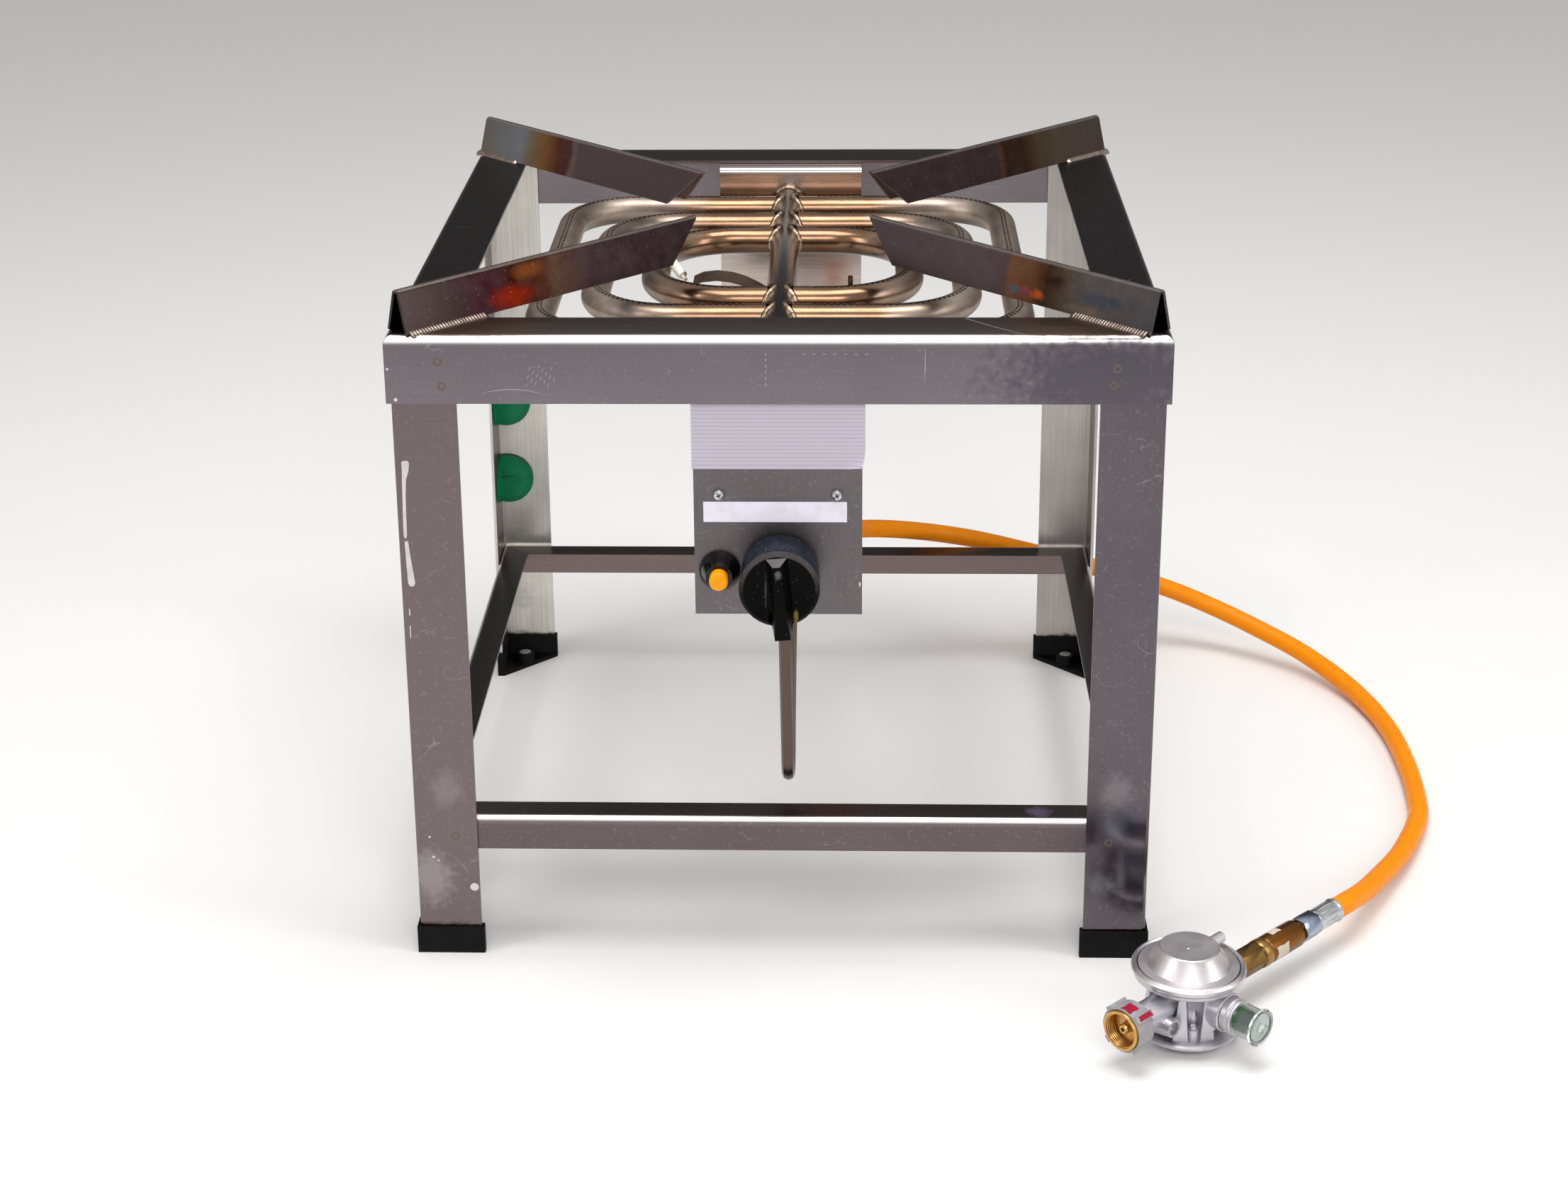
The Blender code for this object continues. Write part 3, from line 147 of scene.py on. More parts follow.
@dataclass(frozen=True)
class Canvas:
    """Node tree and shader of one material, with the patterns that finishes are made of."""

    tree: Tree
    shader: Node

    def feed(self, socket: Socket, name: str) -> None:
        """Links a socket to an input of the shader."""
        self.tree.links.new(socket, self.shader.inputs[name])

    def place(self) -> Socket:
        """Gives the place on the object, in metres."""
        return add_node(self.tree, "ShaderNodeTexCoord")["Object"]

    def along(self, heading: Point, origin: Point) -> Socket:
        """Gives the distance from a point along a direction.

        Args:
            heading: The direction.
            origin: The point, in metres.

        Returns:
            Socket with the distance in metres.
        """
        away = add_node(self.tree, "ShaderNodeVectorMath", {0: self.place(), 1: origin}, operation="SUBTRACT")
        part = {0: away[0], 1: heading}
        return add_node(self.tree, "ShaderNodeVectorMath", part, operation="DOT_PRODUCT")["Value"]

    def ramp(self, value: Socket, start: float, end: float) -> Socket:
        """Gives a share that goes from 0 at `start` to 1 at `end`."""
        spread = {"Value": value, "From Min": start, "From Max": end}
        return add_node(self.tree, "ShaderNodeMapRange", spread)[0]

    def rise(self, start: float, end: float) -> Socket:
        """Gives a share that goes from 0 to 1 between two heights."""
        return self.ramp(add_node(self.tree, "ShaderNodeSeparateXYZ", {0: self.place()})[2], start, end)

    def facing(self, heading: Point, low: float = 0.5, high: float = 0.8) -> Socket:
        """Gives how far the surface faces a direction.

        Args:
            heading: The direction.
            low: Cosine of the angle to it that becomes 0.
            high: Cosine that becomes 1.

        Returns:
            Socket with the share.
        """
        part = {0: add_node(self.tree, "ShaderNodeTexCoord")["Normal"], 1: heading}
        cosine = add_node(self.tree, "ShaderNodeVectorMath", part, operation="DOT_PRODUCT")["Value"]
        return self.ramp(cosine, low, high)

    def both(self, one: Socket, other: Socket) -> Socket:
        """Gives the product of two shares."""
        return add_node(self.tree, "ShaderNodeMath", {0: one, 1: other}, operation="MULTIPLY")[0]

    def speckle(
        self, size_mm: float | Point, low: float = 0.35, high: float = 0.65, detail: float = 3.0
    ) -> Socket:
        """Cloudy pattern from 0 to 1.

        Args:
            size_mm: Size of a spot, or its size along X, Y and Z.
            low: Noise value that becomes 0.
            high: Noise value that becomes 1.
            detail: Octaves of finer noise.

        Returns:
            Socket with the pattern.
        """
        sizes = size_mm if isinstance(size_mm, tuple) else (size_mm,) * 3
        stretch = {"Vector": self.place(), "Scale": tuple(1000.0 / size for size in sizes)}
        mapped = add_node(self.tree, "ShaderNodeMapping", stretch)[0]
        noise = {"Vector": mapped, "Scale": 1.0, "Detail": detail}
        return self.ramp(add_node(self.tree, "ShaderNodeTexNoise", noise)[0], low, high)

    def scratches(self, size_mm: Point, turn: float, width: float = 0.004) -> Socket:
        """Fine broken lines from 0 to 1, where a stretched noise passes its middle value.

        Args:
            size_mm: Size of the noise along X, Y and Z, which sets the length of the lines.
            turn: Turn of the lines about each axis, in radians.
            width: Share of the noise that a line takes.

        Returns:
            Socket with the lines.
        """
        stretch = {"Vector": self.place(), "Scale": tuple(1000.0 / size for size in size_mm)}
        mapped = add_node(self.tree, "ShaderNodeMapping", {**stretch, "Rotation": (turn,) * 3})[0]
        noise = add_node(self.tree, "ShaderNodeTexNoise", {"Vector": mapped, "Scale": 1.0, "Detail": 1.0})[0]
        line = add_node(self.tree, "ShaderNodeMath", {0: noise, 1: 0.5, 2: width}, operation="COMPARE")[0]
        return self.both(line, self.speckle(14.0, 0.54, 0.62))

    def frayed(self, value: Socket, size_mm: float, reach: float) -> Socket:
        """Shifts a value by cloudy noise, so that an edge made from it is ragged."""
        inputs = {0: self.speckle(size_mm, 0.2, 0.8), 1: reach, 2: value}
        return add_node(self.tree, "ShaderNodeMath", inputs, operation="MULTIPLY_ADD")[0]

    def mixed(self, colour: Tone, *layers: tuple[Socket, str, float]) -> Tone:
        """Lays colours over another, the last on top.

        Args:
            colour: Colour below.
            *layers: Where each new colour goes, from 0 to 1, its shade and the most it covers.

        Returns:
            The mixed colour.
        """
        for share, shade, strength in layers:
            part = add_node(self.tree, "ShaderNodeMath", {0: share, 1: strength}, operation="MULTIPLY")
            inputs = {0: part[0], 6: colour, 7: linear(shade)}
            colour = add_node(self.tree, "ShaderNodeMix", inputs, data_type="RGBA")[2]
        return colour

    def stained(self, colour: Tone, stains: Sequence[Stain]) -> Tone:
        """Lays soft marks over a colour, their edges broken up by noise.

        Args:
            colour: Colour below.
            stains: The marks, the last on top.

        Returns:
            The marked colour.
        """
        for stain in stains:
            scale = tuple(1 / reach for reach in stain.reach)
            shift = tuple(-c / reach for c, reach in zip(stain.centre, stain.reach))
            spread = {"Vector": self.place(), "Scale": scale, "Location": shift}
            near = add_node(self.tree, "ShaderNodeMapping", spread)[0]
            away = add_node(self.tree, "ShaderNodeVectorMath", {0: near}, operation="LENGTH")["Value"]
            edge = self.frayed(away, 5.0, stain.ragged)
            share = self.ramp(edge, 1.0 + stain.ragged / 2, 0.4 + stain.ragged / 2)
            colour = self.mixed(colour, (share, stain.shade, stain.strength))
        return colour

    def bump(self, height: Socket, depth_mm: float, strength: float) -> None:
        """Gives the shader a relief of the given depth."""
        inputs = {"Height": height, "Distance": depth_mm * MM, "Strength": strength}
        self.feed(add_node(self.tree, "ShaderNodeBump", inputs)[0], "Normal")

    def roughen(self, share: Socket, low: float, high: float) -> None:
        """Lets the roughness go from `low` to `high` with a pattern."""
        spread = {"Value": share, "To Min": low, "To Max": high}
        self.feed(add_node(self.tree, "ShaderNodeMapRange", spread)[0], "Roughness")


@dataclass(frozen=True)
class Finish:
    """A surface finish. Its material is made once and shared.

    Attributes:
        name: Name of the material.
        shade: Main colour.
        roughness: Roughness of the shader.
        metallic: 1 for bare metal, 0 for the rest.
        gloss: Strength of the clear reflection of a plastic, 0.5 for a fresh surface.
        stains: Soft marks on the surface.
    """

    name: str
    shade: str
    roughness: float = 0.4
    metallic: float = 0.0
    gloss: float = 0.5
    stains: tuple[Stain, ...] = ()

    def material(self) -> bpy.types.Material:
        """Gives the material.

        Returns:
            The material, made on first use.
        """
        made = bpy.data.materials.get(self.name)
        if made is None:
            made = bpy.data.materials.new(self.name)
            made.use_nodes = True
            shader = made.node_tree.nodes["Principled BSDF"]
            shader.inputs["Metallic"].default_value = self.metallic
            shader.inputs["Roughness"].default_value = self.roughness
            shader.inputs["Specular IOR Level"].default_value = self.gloss
            canvas = Canvas(made.node_tree, shader)
            canvas.feed(self.paint(canvas), "Base Color")
        return made

    def paint(self, canvas: Canvas) -> Tone:
        """Draws the pattern of the finish and gives its colour."""
        raise NotImplementedError

    def swing(self, canvas: Canvas, share: Socket, spread: float) -> None:
        """Lets the roughness swing by `spread` to both sides, following a pattern."""
        canvas.roughen(share, self.roughness - spread, self.roughness + spread)


@dataclass(frozen=True)
class RolledStainless(Finish):
    """Cold-rolled stainless sheet with a ground grain.

    It looks grey with a faint mauve cast, soft reflections that smear across the grain, and
    fine bright scratches from use. The bends carry a painted highlight, nearly white, and the
    flat flanges above them a painted dark reflection.

    Attributes:
        streak: Darker shade between the grain lines.
        bright: Shade of specks and scratches.
        grain_mm: Size of the grain along X, Y and Z.
        fold_z: Height of the folded edge, 0 for none.
        fold_highlight: Shade of the painted highlight on the bent edge.
        flange: Shade of the flat above the bend, a painted dark reflection.
        inner: Painted highlight on surfaces that face the front, none to leave it.
        wet_z: Height below which the sheet is polished to a mirror, 0 for none.
    """

    metallic: float = 1.0
    streak: str = "#6f686c"
    bright: str = "#c9c4c6"
    grain_mm: Point = ALONG_X_MM  # real grain is 0.1 mm wide, drawn wider so that it shows
    fold_z: float = 0.0
    fold_highlight: str = "#fdf8f6"
    flange: str = "#3d3636"
    inner: str = ""
    wet_z: float = 0.0

    def paint(self, canvas: Canvas) -> Tone:
        """Grain, cloudy tone, scratches, painted light on bends and flanges, and stains.

        Args:
            canvas: Node tree and shader of the material.

        Returns:
            The colour.
        """
        grain = canvas.speckle(self.grain_mm, 0.3, 0.7, 4.0)
        # Painted highlight on faces towards the front.
        layers = [(canvas.facing(FRONT), self.inner, 1.0)] if self.inner else []
        layers += [(grain, self.streak, 0.24), (canvas.speckle(70.0, 0.3, 0.7), self.streak, 0.35)]
        # Painted highlight on the bend below the flange, and a painted dark reflection on the flat flange.
        if self.fold_z:
            edge = canvas.rise(self.fold_z - 0.0062, self.fold_z - 0.0048)
            layers.append((canvas.both(edge, canvas.facing(UP, 0.06, 0.30)), self.fold_highlight, 1.0))
            layers.append((canvas.facing(UP, 0.93, 0.995), self.flange, 1.0))
        layers.append((canvas.speckle(2.2, 0.60, 0.72), self.bright, 0.10))
        layers.append((canvas.scratches((34.0, 9.0, 21.0), 0.6), self.bright, 0.16))
        if self.wet_z:
            dry = canvas.rise(self.wet_z - 0.030, self.wet_z)
            canvas.roughen(canvas.both(dry, canvas.speckle(9.0, 0.1, 0.5)), 0.13, self.roughness)
        else:
            self.swing(canvas, grain, 0.05)
        canvas.bump(grain, 0.02, 0.3)
        return canvas.stained(canvas.mixed(linear(self.shade), *layers), self.stains)


@dataclass(frozen=True)
class TemperedStainless(Finish):
    """Stainless sheet that flames have coloured.

    Oxide colours follow the heat in bands across the bar: straw, brown, magenta and blue, then
    dull mauve where it was hottest. The ridge carries a painted highlight.

    Attributes:
        heading: Direction along the bar, outwards.
        bands: Distance from the middle in millimetres and shade of each band.
        ridge_z: Height of the ridge.
        ridge: Shade of the painted highlight along the ridge.
    """

    metallic: float = 1.0
    heading: Point = (1.0, 0.0, 0.0)
    bands: tuple[tuple[float, str], ...] = ()
    ridge_z: float = 0.4255
    ridge: str = "#8b8381"

    def paint(self, canvas: Canvas) -> Tone:
        """Bands of oxide colour, mottling, a painted highlight along the ridge and pin-head specks.

        Args:
            canvas: Node tree and shader of the material.

        Returns:
            The colour.
        """
        sway = 0.005
        reach = canvas.frayed(canvas.along(self.heading, (0.0, CENTRE_Y, 0.0)), 16.0, sway)
        start, end = self.bands[0][0], self.bands[-1][0]
        share = canvas.ramp(reach, start * MM, end * MM + sway)
        stops = [((mm - start) / (end - start), linear(shade)) for mm, shade in self.bands]
        colours = add_node(canvas.tree, "ShaderNodeValToRGB", {"Fac": share}, stops)[0]
        mottle = canvas.speckle(9.0, 0.35, 0.75)
        self.swing(canvas, mottle, 0.06)
        canvas.bump(canvas.speckle(1.2, 0.2, 0.8), 0.02, 0.3)
        tone = canvas.stained(canvas.mixed(colours, (mottle, "#5c5356", 0.14)), self.stains)
        # Painted highlight along the ridge, lighter towards its top.
        rubbed = canvas.rise(self.ridge_z - 0.0016, self.ridge_z - 0.0003)
        specks = canvas.speckle(1.6, 0.66, 0.74)
        return canvas.mixed(tone, (rubbed, self.ridge, 0.75), (specks, "#b9b0ac", 0.16))


@dataclass(frozen=True)
class TemperedTube(Finish):
    """Polished stainless tube that the flames turned to rose gold.

    The straight lengths stay bright, the bends go dull grey-brown and the underside gets painted shade.

    Attributes:
        dull: Shade of the bends.
        underside_shade: Painted shade of the underside.
        violet: Shade of the bloom on the hottest places.
        warm: Shade of the streaks.
        bend_from: Distance from the middle plane where the dull part starts.
        bend_to: Distance where it is fully dull.
        axis_z: Height of the tube's centre line.
    """

    metallic: float = 1.0
    dull: str = "#b0a398"
    underside_shade: str = "#2c211b"
    violet: str = "#6d6274"
    warm: str = "#d3b48c"
    bend_from: float = 0.052
    bend_to: float = 0.105
    axis_z: float = 0.3745

    def paint(self, canvas: Canvas) -> Tone:
        """Rose gold in the middle, dull towards the bends, painted shade below.

        Args:
            canvas: Node tree and shader of the material.

        Returns:
            The colour.
        """
        parts = add_node(canvas.tree, "ShaderNodeSeparateXYZ", {0: canvas.place()})
        side = add_node(canvas.tree, "ShaderNodeMath", {0: parts[0]}, operation="ABSOLUTE")[0]
        reach = canvas.frayed(side, 26.0, 0.030)
        far = canvas.ramp(reach, self.bend_from + 0.015, self.bend_to + 0.015)
        canvas.roughen(far, self.roughness, self.roughness + 0.24)
        canvas.bump(canvas.speckle(1.1, 0.2, 0.8), 0.015, 0.3)
        return canvas.mixed(
            linear(self.shade),
            (far, self.dull, 0.9),
            (canvas.speckle(13.0, 0.45, 0.70), "#5d4d42", 0.30),
            (canvas.speckle((34.0, 5.0, 5.0), 0.45, 0.72), self.warm, 0.16),
            (canvas.speckle(30.0, 0.58, 0.70), self.violet, 0.28),
            # Painted shade: darker below the tube's centre line.
            (canvas.ramp(parts[2], self.axis_z - 0.0005, self.axis_z - 0.0080), self.underside_shade, 0.85),
            (canvas.speckle(1.7, 0.62, 0.72), "#2b2320", 0.32),
        )


@dataclass(frozen=True)
class SmallMetal(Finish):
    """Turned, drawn or plated metal of the small fittings.

    A fine even grain, a few dull clouds and specks of dirt.

    Attributes:
        cloud: Shade of the dull clouds.
        cloud_mm: Size of a cloud.
        cloud_strength: Most that a cloud covers.
        grain_mm: Size of the grain.
        relief_mm: Depth of the grain.
    """

    metallic: float = 1.0
    cloud: str = "#554c46"
    cloud_mm: float = 6.0
    cloud_strength: float = 0.4
    grain_mm: float = 0.8
    relief_mm: float = 0.02

    def base(self, canvas: Canvas) -> Tone:
        """Gives the colour below clouds and grain."""
        return linear(self.shade)

    def paint(self, canvas: Canvas) -> Tone:
        """Clouds, grain and specks.

        Args:
            canvas: Node tree and shader of the material.

        Returns:
            The colour.
        """
        clouds = canvas.speckle(self.cloud_mm, 0.4, 0.7)
        grain = canvas.speckle(self.grain_mm, 0.25, 0.75)
        self.swing(canvas, clouds, 0.15 * self.roughness)
        canvas.bump(grain, self.relief_mm, 0.5)
        specks = (canvas.speckle(1.5, 0.64, 0.72), "#2e2824", 0.30)
        layers = ((clouds, self.cloud, self.cloud_strength), (grain, self.cloud, 0.12), specks)
        return canvas.stained(canvas.mixed(self.base(canvas), *layers), self.stains)


@dataclass(frozen=True)
class BandedMetal(SmallMetal):
    """Turned metal whose shade changes along its axis, as where a torch or a lacquer stopped.

    Attributes:
        heading: Direction of the axis.
        origin: Point that distances are measured from.
        bands: Distance in millimetres and shade of each band, which starts there.
    """

    heading: Point = (1.0, 0.0, 0.0)
    origin: Point = (0.0, 0.0, 0.0)
    bands: tuple[tuple[float, str], ...] = ()

    def base(self, canvas: Canvas) -> Tone:
        """Gives the banded colour, each band with an edge 0.3 mm wide.

        Args:
            canvas: Node tree and shader of the material.

        Returns:
            The colour.
        """
        way = canvas.along(self.heading, self.origin)
        edges = [(canvas.ramp(way, (at - 0.15) * MM, (at + 0.15) * MM), tone, 1.0) for at, tone in self.bands]
        return canvas.mixed(linear(self.shade), *edges)


@dataclass(frozen=True)
class MouldedPlastic(Finish):
    """Injection or compression moulded plastic.

    Even colour, a soft gloss, dust in patches and rubbed spots.

    Attributes:
        dust: Shade of the dust.
        dust_strength: Most that the dust covers.
        relief_mm: Depth of the surface's fine dents.
    """

    dust: str = "#6d655c"
    dust_strength: float = 0.25
    relief_mm: float = 0.03

    def paint(self, canvas: Canvas) -> Tone:
        """Dust, fine dents and rubbed spots.

        Args:
            canvas: Node tree and shader of the material.

        Returns:
            The colour.
        """
        dust = canvas.speckle(9.0, 0.45, 0.75)
        self.swing(canvas, dust, 0.08)
        canvas.bump(canvas.speckle(0.9, 0.25, 0.75), self.relief_mm, 0.3)
        specks = (canvas.speckle(1.3, 0.66, 0.74), self.dust, 0.5 * self.dust_strength)
        tone = canvas.mixed(linear(self.shade), (dust, self.dust, self.dust_strength), specks)
        return canvas.stained(tone, self.stains)


@dataclass(frozen=True)
class PhenolicWithHighlights(MouldedPlastic):
    """Compression moulded phenolic of the gas knob.

    Near black with a hard gloss. The upper rim and the bar's upper facet carry painted highlights,
    and the side holds blue-grey dust.

    Attributes:
        axis: A point on the knob's axis.
        radius: Radius of the disc.
        face_y: Where the flat face lies along Y.
    """

    axis: Point = (0.0, 0.0, 0.0)
    radius: float = 0.0234
    face_y: float = 0.0

    def paint(self, canvas: Canvas) -> Tone:
        """Black with painted highlights on the upper rim and facet, and a dusty side.

        Args:
            canvas: Node tree and shader of the material.

        Returns:
            The colour.
        """
        tree, edge = canvas.tree, self.radius
        away = add_node(tree, "ShaderNodeVectorMath", {0: canvas.place(), 1: self.axis}, operation="SUBTRACT")
        flat = {0: away[0], 1: (1.0, 0.0, 1.0)}
        flat = add_node(tree, "ShaderNodeVectorMath", flat, operation="MULTIPLY")[0]
        distance = add_node(tree, "ShaderNodeVectorMath", {0: flat}, operation="LENGTH")["Value"]
        front = canvas.along(FRONT, (0.0, self.face_y, 0.0))
        # Painted highlights: on the upper part of the rim and on the bar's upward facet.
        upper = canvas.ramp(canvas.along(UP, self.axis), -0.004, 0.010)
        rim = canvas.both(canvas.ramp(distance, edge - 0.0030, edge - 0.0022), upper)
        rubbed = canvas.both(rim, canvas.ramp(front, -0.0030, -0.0024))
        facet = canvas.facing((0.0, -0.38, 0.92), 0.80, 0.95)
        facet_highlight = canvas.both(facet, canvas.ramp(front, -0.0006, 0.0004))
        outer = canvas.ramp(distance, edge - 0.0030, edge - 0.0018)
        side = canvas.both(canvas.ramp(front, -0.0020, -0.0030), outer)
        fine = canvas.speckle(0.9, 0.25, 0.75)
        self.swing(canvas, fine, 0.06)
        canvas.bump(fine, self.relief_mm, 0.3)
        # The rim and facet layers are painted highlights.
        tone = canvas.mixed(
            linear(self.shade),
            (side, "#131a26", 1.0),
            (canvas.both(side, canvas.speckle(1.4, 0.56, 0.68)), "#46505e", 0.7),
            (rubbed, "#5f5657", 0.45),
            (facet_highlight, "#6b6768", 0.8),
            (canvas.speckle(1.3, 0.67, 0.74), self.dust, 0.4),
        )
        return canvas.stained(tone, self.stains)


@dataclass(frozen=True)
class ClearPlastic(Finish):
    """Moulded clear polycarbonate, a little scratched.

    Attributes:
        ior: Refractive index of polycarbonate.
    """

    ior: float = 1.585

    def paint(self, canvas: Canvas) -> Tone:
        """Clear, with cloudy scuffs.

        Args:
            canvas: Node tree and shader of the material.

        Returns:
            The colour.
        """
        canvas.shader.inputs["Transmission Weight"].default_value = 1.0
        canvas.shader.inputs["IOR"].default_value = self.ior
        scuff = canvas.speckle(3.0, 0.5, 0.8)
        self.swing(canvas, scuff, 0.03)
        return canvas.mixed(linear(self.shade), (scuff, "#c8d2cc", 0.4))


@dataclass(frozen=True)
class PrintedVinyl(Finish):
    """White vinyl label film, with thin ruled lines if `rules` is above 0.

    Attributes:
        rules: Number of ruled lines per metre of height.
        rule_share: Share of the spacing that a line takes.
    """

    rules: float = 0.0
    rule_share: float = 0.07

    def paint(self, canvas: Canvas) -> Tone:
        """Off-white film with faint stains and lines.

        Args:
            canvas: Node tree and shader of the material.

        Returns:
            The colour.
        """
        grime = canvas.speckle(8.0, 0.45, 0.75)
        self.swing(canvas, grime, 0.05)
        layers = [(grime, "#b9b2b6", 0.28)]
        if self.rules:
            height = add_node(canvas.tree, "ShaderNodeSeparateXYZ", {0: canvas.place()})[2]
            rows = {0: height, 1: self.rules}
            rows = add_node(canvas.tree, "ShaderNodeMath", rows, operation="MULTIPLY")[0]
            line = add_node(canvas.tree, "ShaderNodeMath", {0: rows}, operation="FRACT")[0]
            line = {0: line, 1: self.rule_share}
            line = add_node(canvas.tree, "ShaderNodeMath", line, operation="LESS_THAN")[0]
            layers.append((line, "#55525c", 0.75))
        return canvas.mixed(linear(self.shade), *layers)


def foot_crust(sx: int, sy: int) -> tuple[Stain, ...]:
    """Stains of the lowest part of one leg: brown crust at the cap, grey oxide above it.

    Args:
        sx: 1 for the right side of the stand, -1 for the left.
        sy: 1 for the rear, -1 for the front.

    Returns:
        The stains.
    """
    x, y = sx * 0.222, CENTRE_Y + sy * 0.222
    return (
        Stain((x, y, 0.0165), (0.060, 0.060, 0.0045), "#4a3628", 0.9, 0.9),
        Stain((x - sx * 0.008, y, 0.052), (0.016, 0.03, 0.022), "#aaa2a4", 0.5),
        Stain((x - sx * 0.020, y, 0.112), (0.012, 0.03, 0.016), "#a09899", 0.3),
    )


# Panel sheet of the same steel, turned across its grain and duller.
PANEL_STEEL = RolledStainless(
    "rolled_stainless_panel", "#706a6d", 0.42, streak="#5f595b", grain_mm=(1.1, 1.1, 26.0)
)
# Bright-annealed sheet: close to a mirror, so it shows the burner in it.
BRIGHT_STEEL = RolledStainless(
    "bright_annealed_stainless", "#b9aca4", 0.16, streak="#85807f", grain_mm=(60.0, 0.8, 2.0)
)
# Tube drawn and polished. The rings turn rose gold; the feed tube's dark grey is a painted reflection.
RING_TUBE = TemperedTube("tempered_tube_rose_gold", "#7d5f49", 0.21)
DARK_REFLECTION_LOOK = dict(dull="#5c5653", warm="#94867a", bend_from=0.10, bend_to=0.20)
FEED_TUBE = TemperedTube("tempered_tube_grey", "#5c5653", 0.22, **DARK_REFLECTION_LOOK)
MIXER_TUBE = TemperedTube("tempered_tube_mixer", "#6a6460", 0.26, dull="#6a6460", axis_z=0.30)
# Weld metal: brushed light beads on the bars, brown puddles on the tubes.
WELD = SmallMetal(
    "brushed_weld_metal", "#8f8177", 0.34, cloud="#54463c", cloud_mm=4.0, cloud_strength=0.7
)
TUBE_WELD = SmallMetal(
    "tempered_weld_metal", "#9c8672", 0.26, cloud="#4a3b32", cloud_mm=5.0, cloud_strength=0.8
)
# Steel cut through its skin is light, and the same shade paints a reflection on the front
# flange; spot welds and the strap are burnt brown.
SCRATCH_AND_REFLECTION = SmallMetal("ground_scratch_and_reflection", "#b7b0b4", 0.34, cloud="#a59ea1", cloud_mm=2.0)
SPOT_WELD = SmallMetal("tempered_spot_weld", "#6f5f55", 0.40, cloud="#7c6a5d", cloud_mm=1.5)
STRAP_STEEL = SmallMetal("tempered_strap_tan", "#8e7663", 0.36, cloud="#4d3d33", cloud_mm=7.0)
# Zinc plating: light grey with dull clouds, or with a blue cast where it is passivated.
ZINC = SmallMetal("zinc_plated_steel", "#c9ccd0", 0.28, cloud="#8d9096")
BLUE_ZINC = SmallMetal("blue_passivated_zinc", "#a9b3c8", 0.20, cloud="#6b7488", cloud_mm=4.0)
# Turned brass: yellow with a soft sheen, brown where it has tarnished.
BRASS = SmallMetal("turned_brass", "#cfa262", 0.34, cloud="#a87a42", cloud_strength=0.18)
OLD_BRASS = SmallMetal("tarnished_brass", "#957147", 0.36, cloud="#5c452e", cloud_mm=9.0)
# Drawn steel: even grey-brown with a long clean reflection.
PIPE_CLOUD = dict(cloud="#64584e", cloud_mm=30.0, cloud_strength=0.25, grain_mm=0.6)
PIPE = SmallMetal("drawn_steel_pipe", "#5b4f49", 0.24, **PIPE_CLOUD)
# Pressure die casting: satin skin with a fine pebble.
CAST_SKIN = dict(cloud_mm=14.0, cloud_strength=0.25, grain_mm=0.7, relief_mm=0.05)
CASTING = SmallMetal("die_cast_zinc", "#d2ccce", 0.42, cloud="#aeabb0", **CAST_SKIN)
# Openings: painted shade where ports, recesses, the bore and the groove are, with rust round the burner's
# ports.
PORT_SHADOW = MouldedPlastic(
    "port_opening", "#140d0b", 0.85, gloss=0.1, dust="#5a3220", dust_strength=0.4
)
RECESS_SHADE = MouldedPlastic("recess_shadow", "#17151a", 0.7, gloss=0.2)
# Moulded plastics: foot caps waxy black, bezel hard and glossy, button and hand wheel plain.
FOOT_PLASTIC = MouldedPlastic(
    "moulded_polyethylene_black", "#070607", 0.55, gloss=0.12, dust="#2a2827", dust_strength=0.15
)
BEZEL_PLASTIC = MouldedPlastic(
    "moulded_abs_black", "#060607", 0.16, gloss=0.35, dust="#4c4a4b", dust_strength=0.05
)
BUTTON_PLASTIC = MouldedPlastic("moulded_abs_orange", "#fba200", 0.35, gloss=0.2, dust="#b86c10")
WHEEL_PLASTIC = MouldedPlastic("moulded_polyamide_grey", "#8f8d90", 0.40, dust="#bdb9bb")
MOULD_SPOT = MouldedPlastic("moulding_spot_grey", "#8d8a8a", 0.45, gloss=0.3, dust="#5a5757")
# Extruded rubber: strong orange, matt, with a slightly uneven skin.
RUBBER = dict(gloss=0.15, dust="#d07a08", dust_strength=0.2, relief_mm=0.05)
HOSE_PLASTIC = MouldedPlastic("extruded_rubber_orange", "#f08a00", 0.45, **RUBBER)
# Paint: thin crimson marks, and thick white runs.
MARK_PAINT = MouldedPlastic("crimson_paint", "#96122f", 0.40, gloss=0.2, dust="#6f0f28")
DRIP_PAINT = MouldedPlastic(
    "white_masonry_paint", "#cfc8ca", 0.55, gloss=0.3, dust="#8f8786", relief_mm=0.15
)
# Stuck films: green vinyl with a darker rim, torn paper, and white label film. The rim's
# shade also paints the shadows under the stickers' creases.
STICKER_FILM = MouldedPlastic(
    "green_vinyl_film", "#008457", 0.45, gloss=0.25, dust="#005a3c", dust_strength=0.35
)
STICKER_RIM_AND_SHADOW = MouldedPlastic(
    "green_vinyl_rim", "#006645", 0.50, gloss=0.25, dust="#00452f", dust_strength=0.6
)
TORN_PAPER = MouldedPlastic("torn_paper_label", "#cbbfae", 0.7, gloss=0.2, dust="#a08a70")
BLANK_FILM = PrintedVinyl("white_label_tape", "#e6e3ef", 0.42, gloss=0.35)
RULED_FILM = PrintedVinyl("white_rating_film", "#b9b3c0", 0.40, gloss=0.3, rules=420.0)
# Clear polycarbonate: glassy with bright rims.
CLEAR = ClearPlastic("moulded_polycarbonate", "#d3dbd8", 0.05)


# --- meshes ------------------------------------------------------------------------------
def new_object(name: str, data: bpy.types.ID) -> bpy.types.Object:
    """Makes an object of some data and links it to the scene.

    Args:
        name: Name of the object.
        data: Mesh, curve, camera or lamp.

    Returns:
        The new object.
    """
    made = bpy.data.objects.new(name, data)
    bpy.context.scene.collection.objects.link(made)
    return made


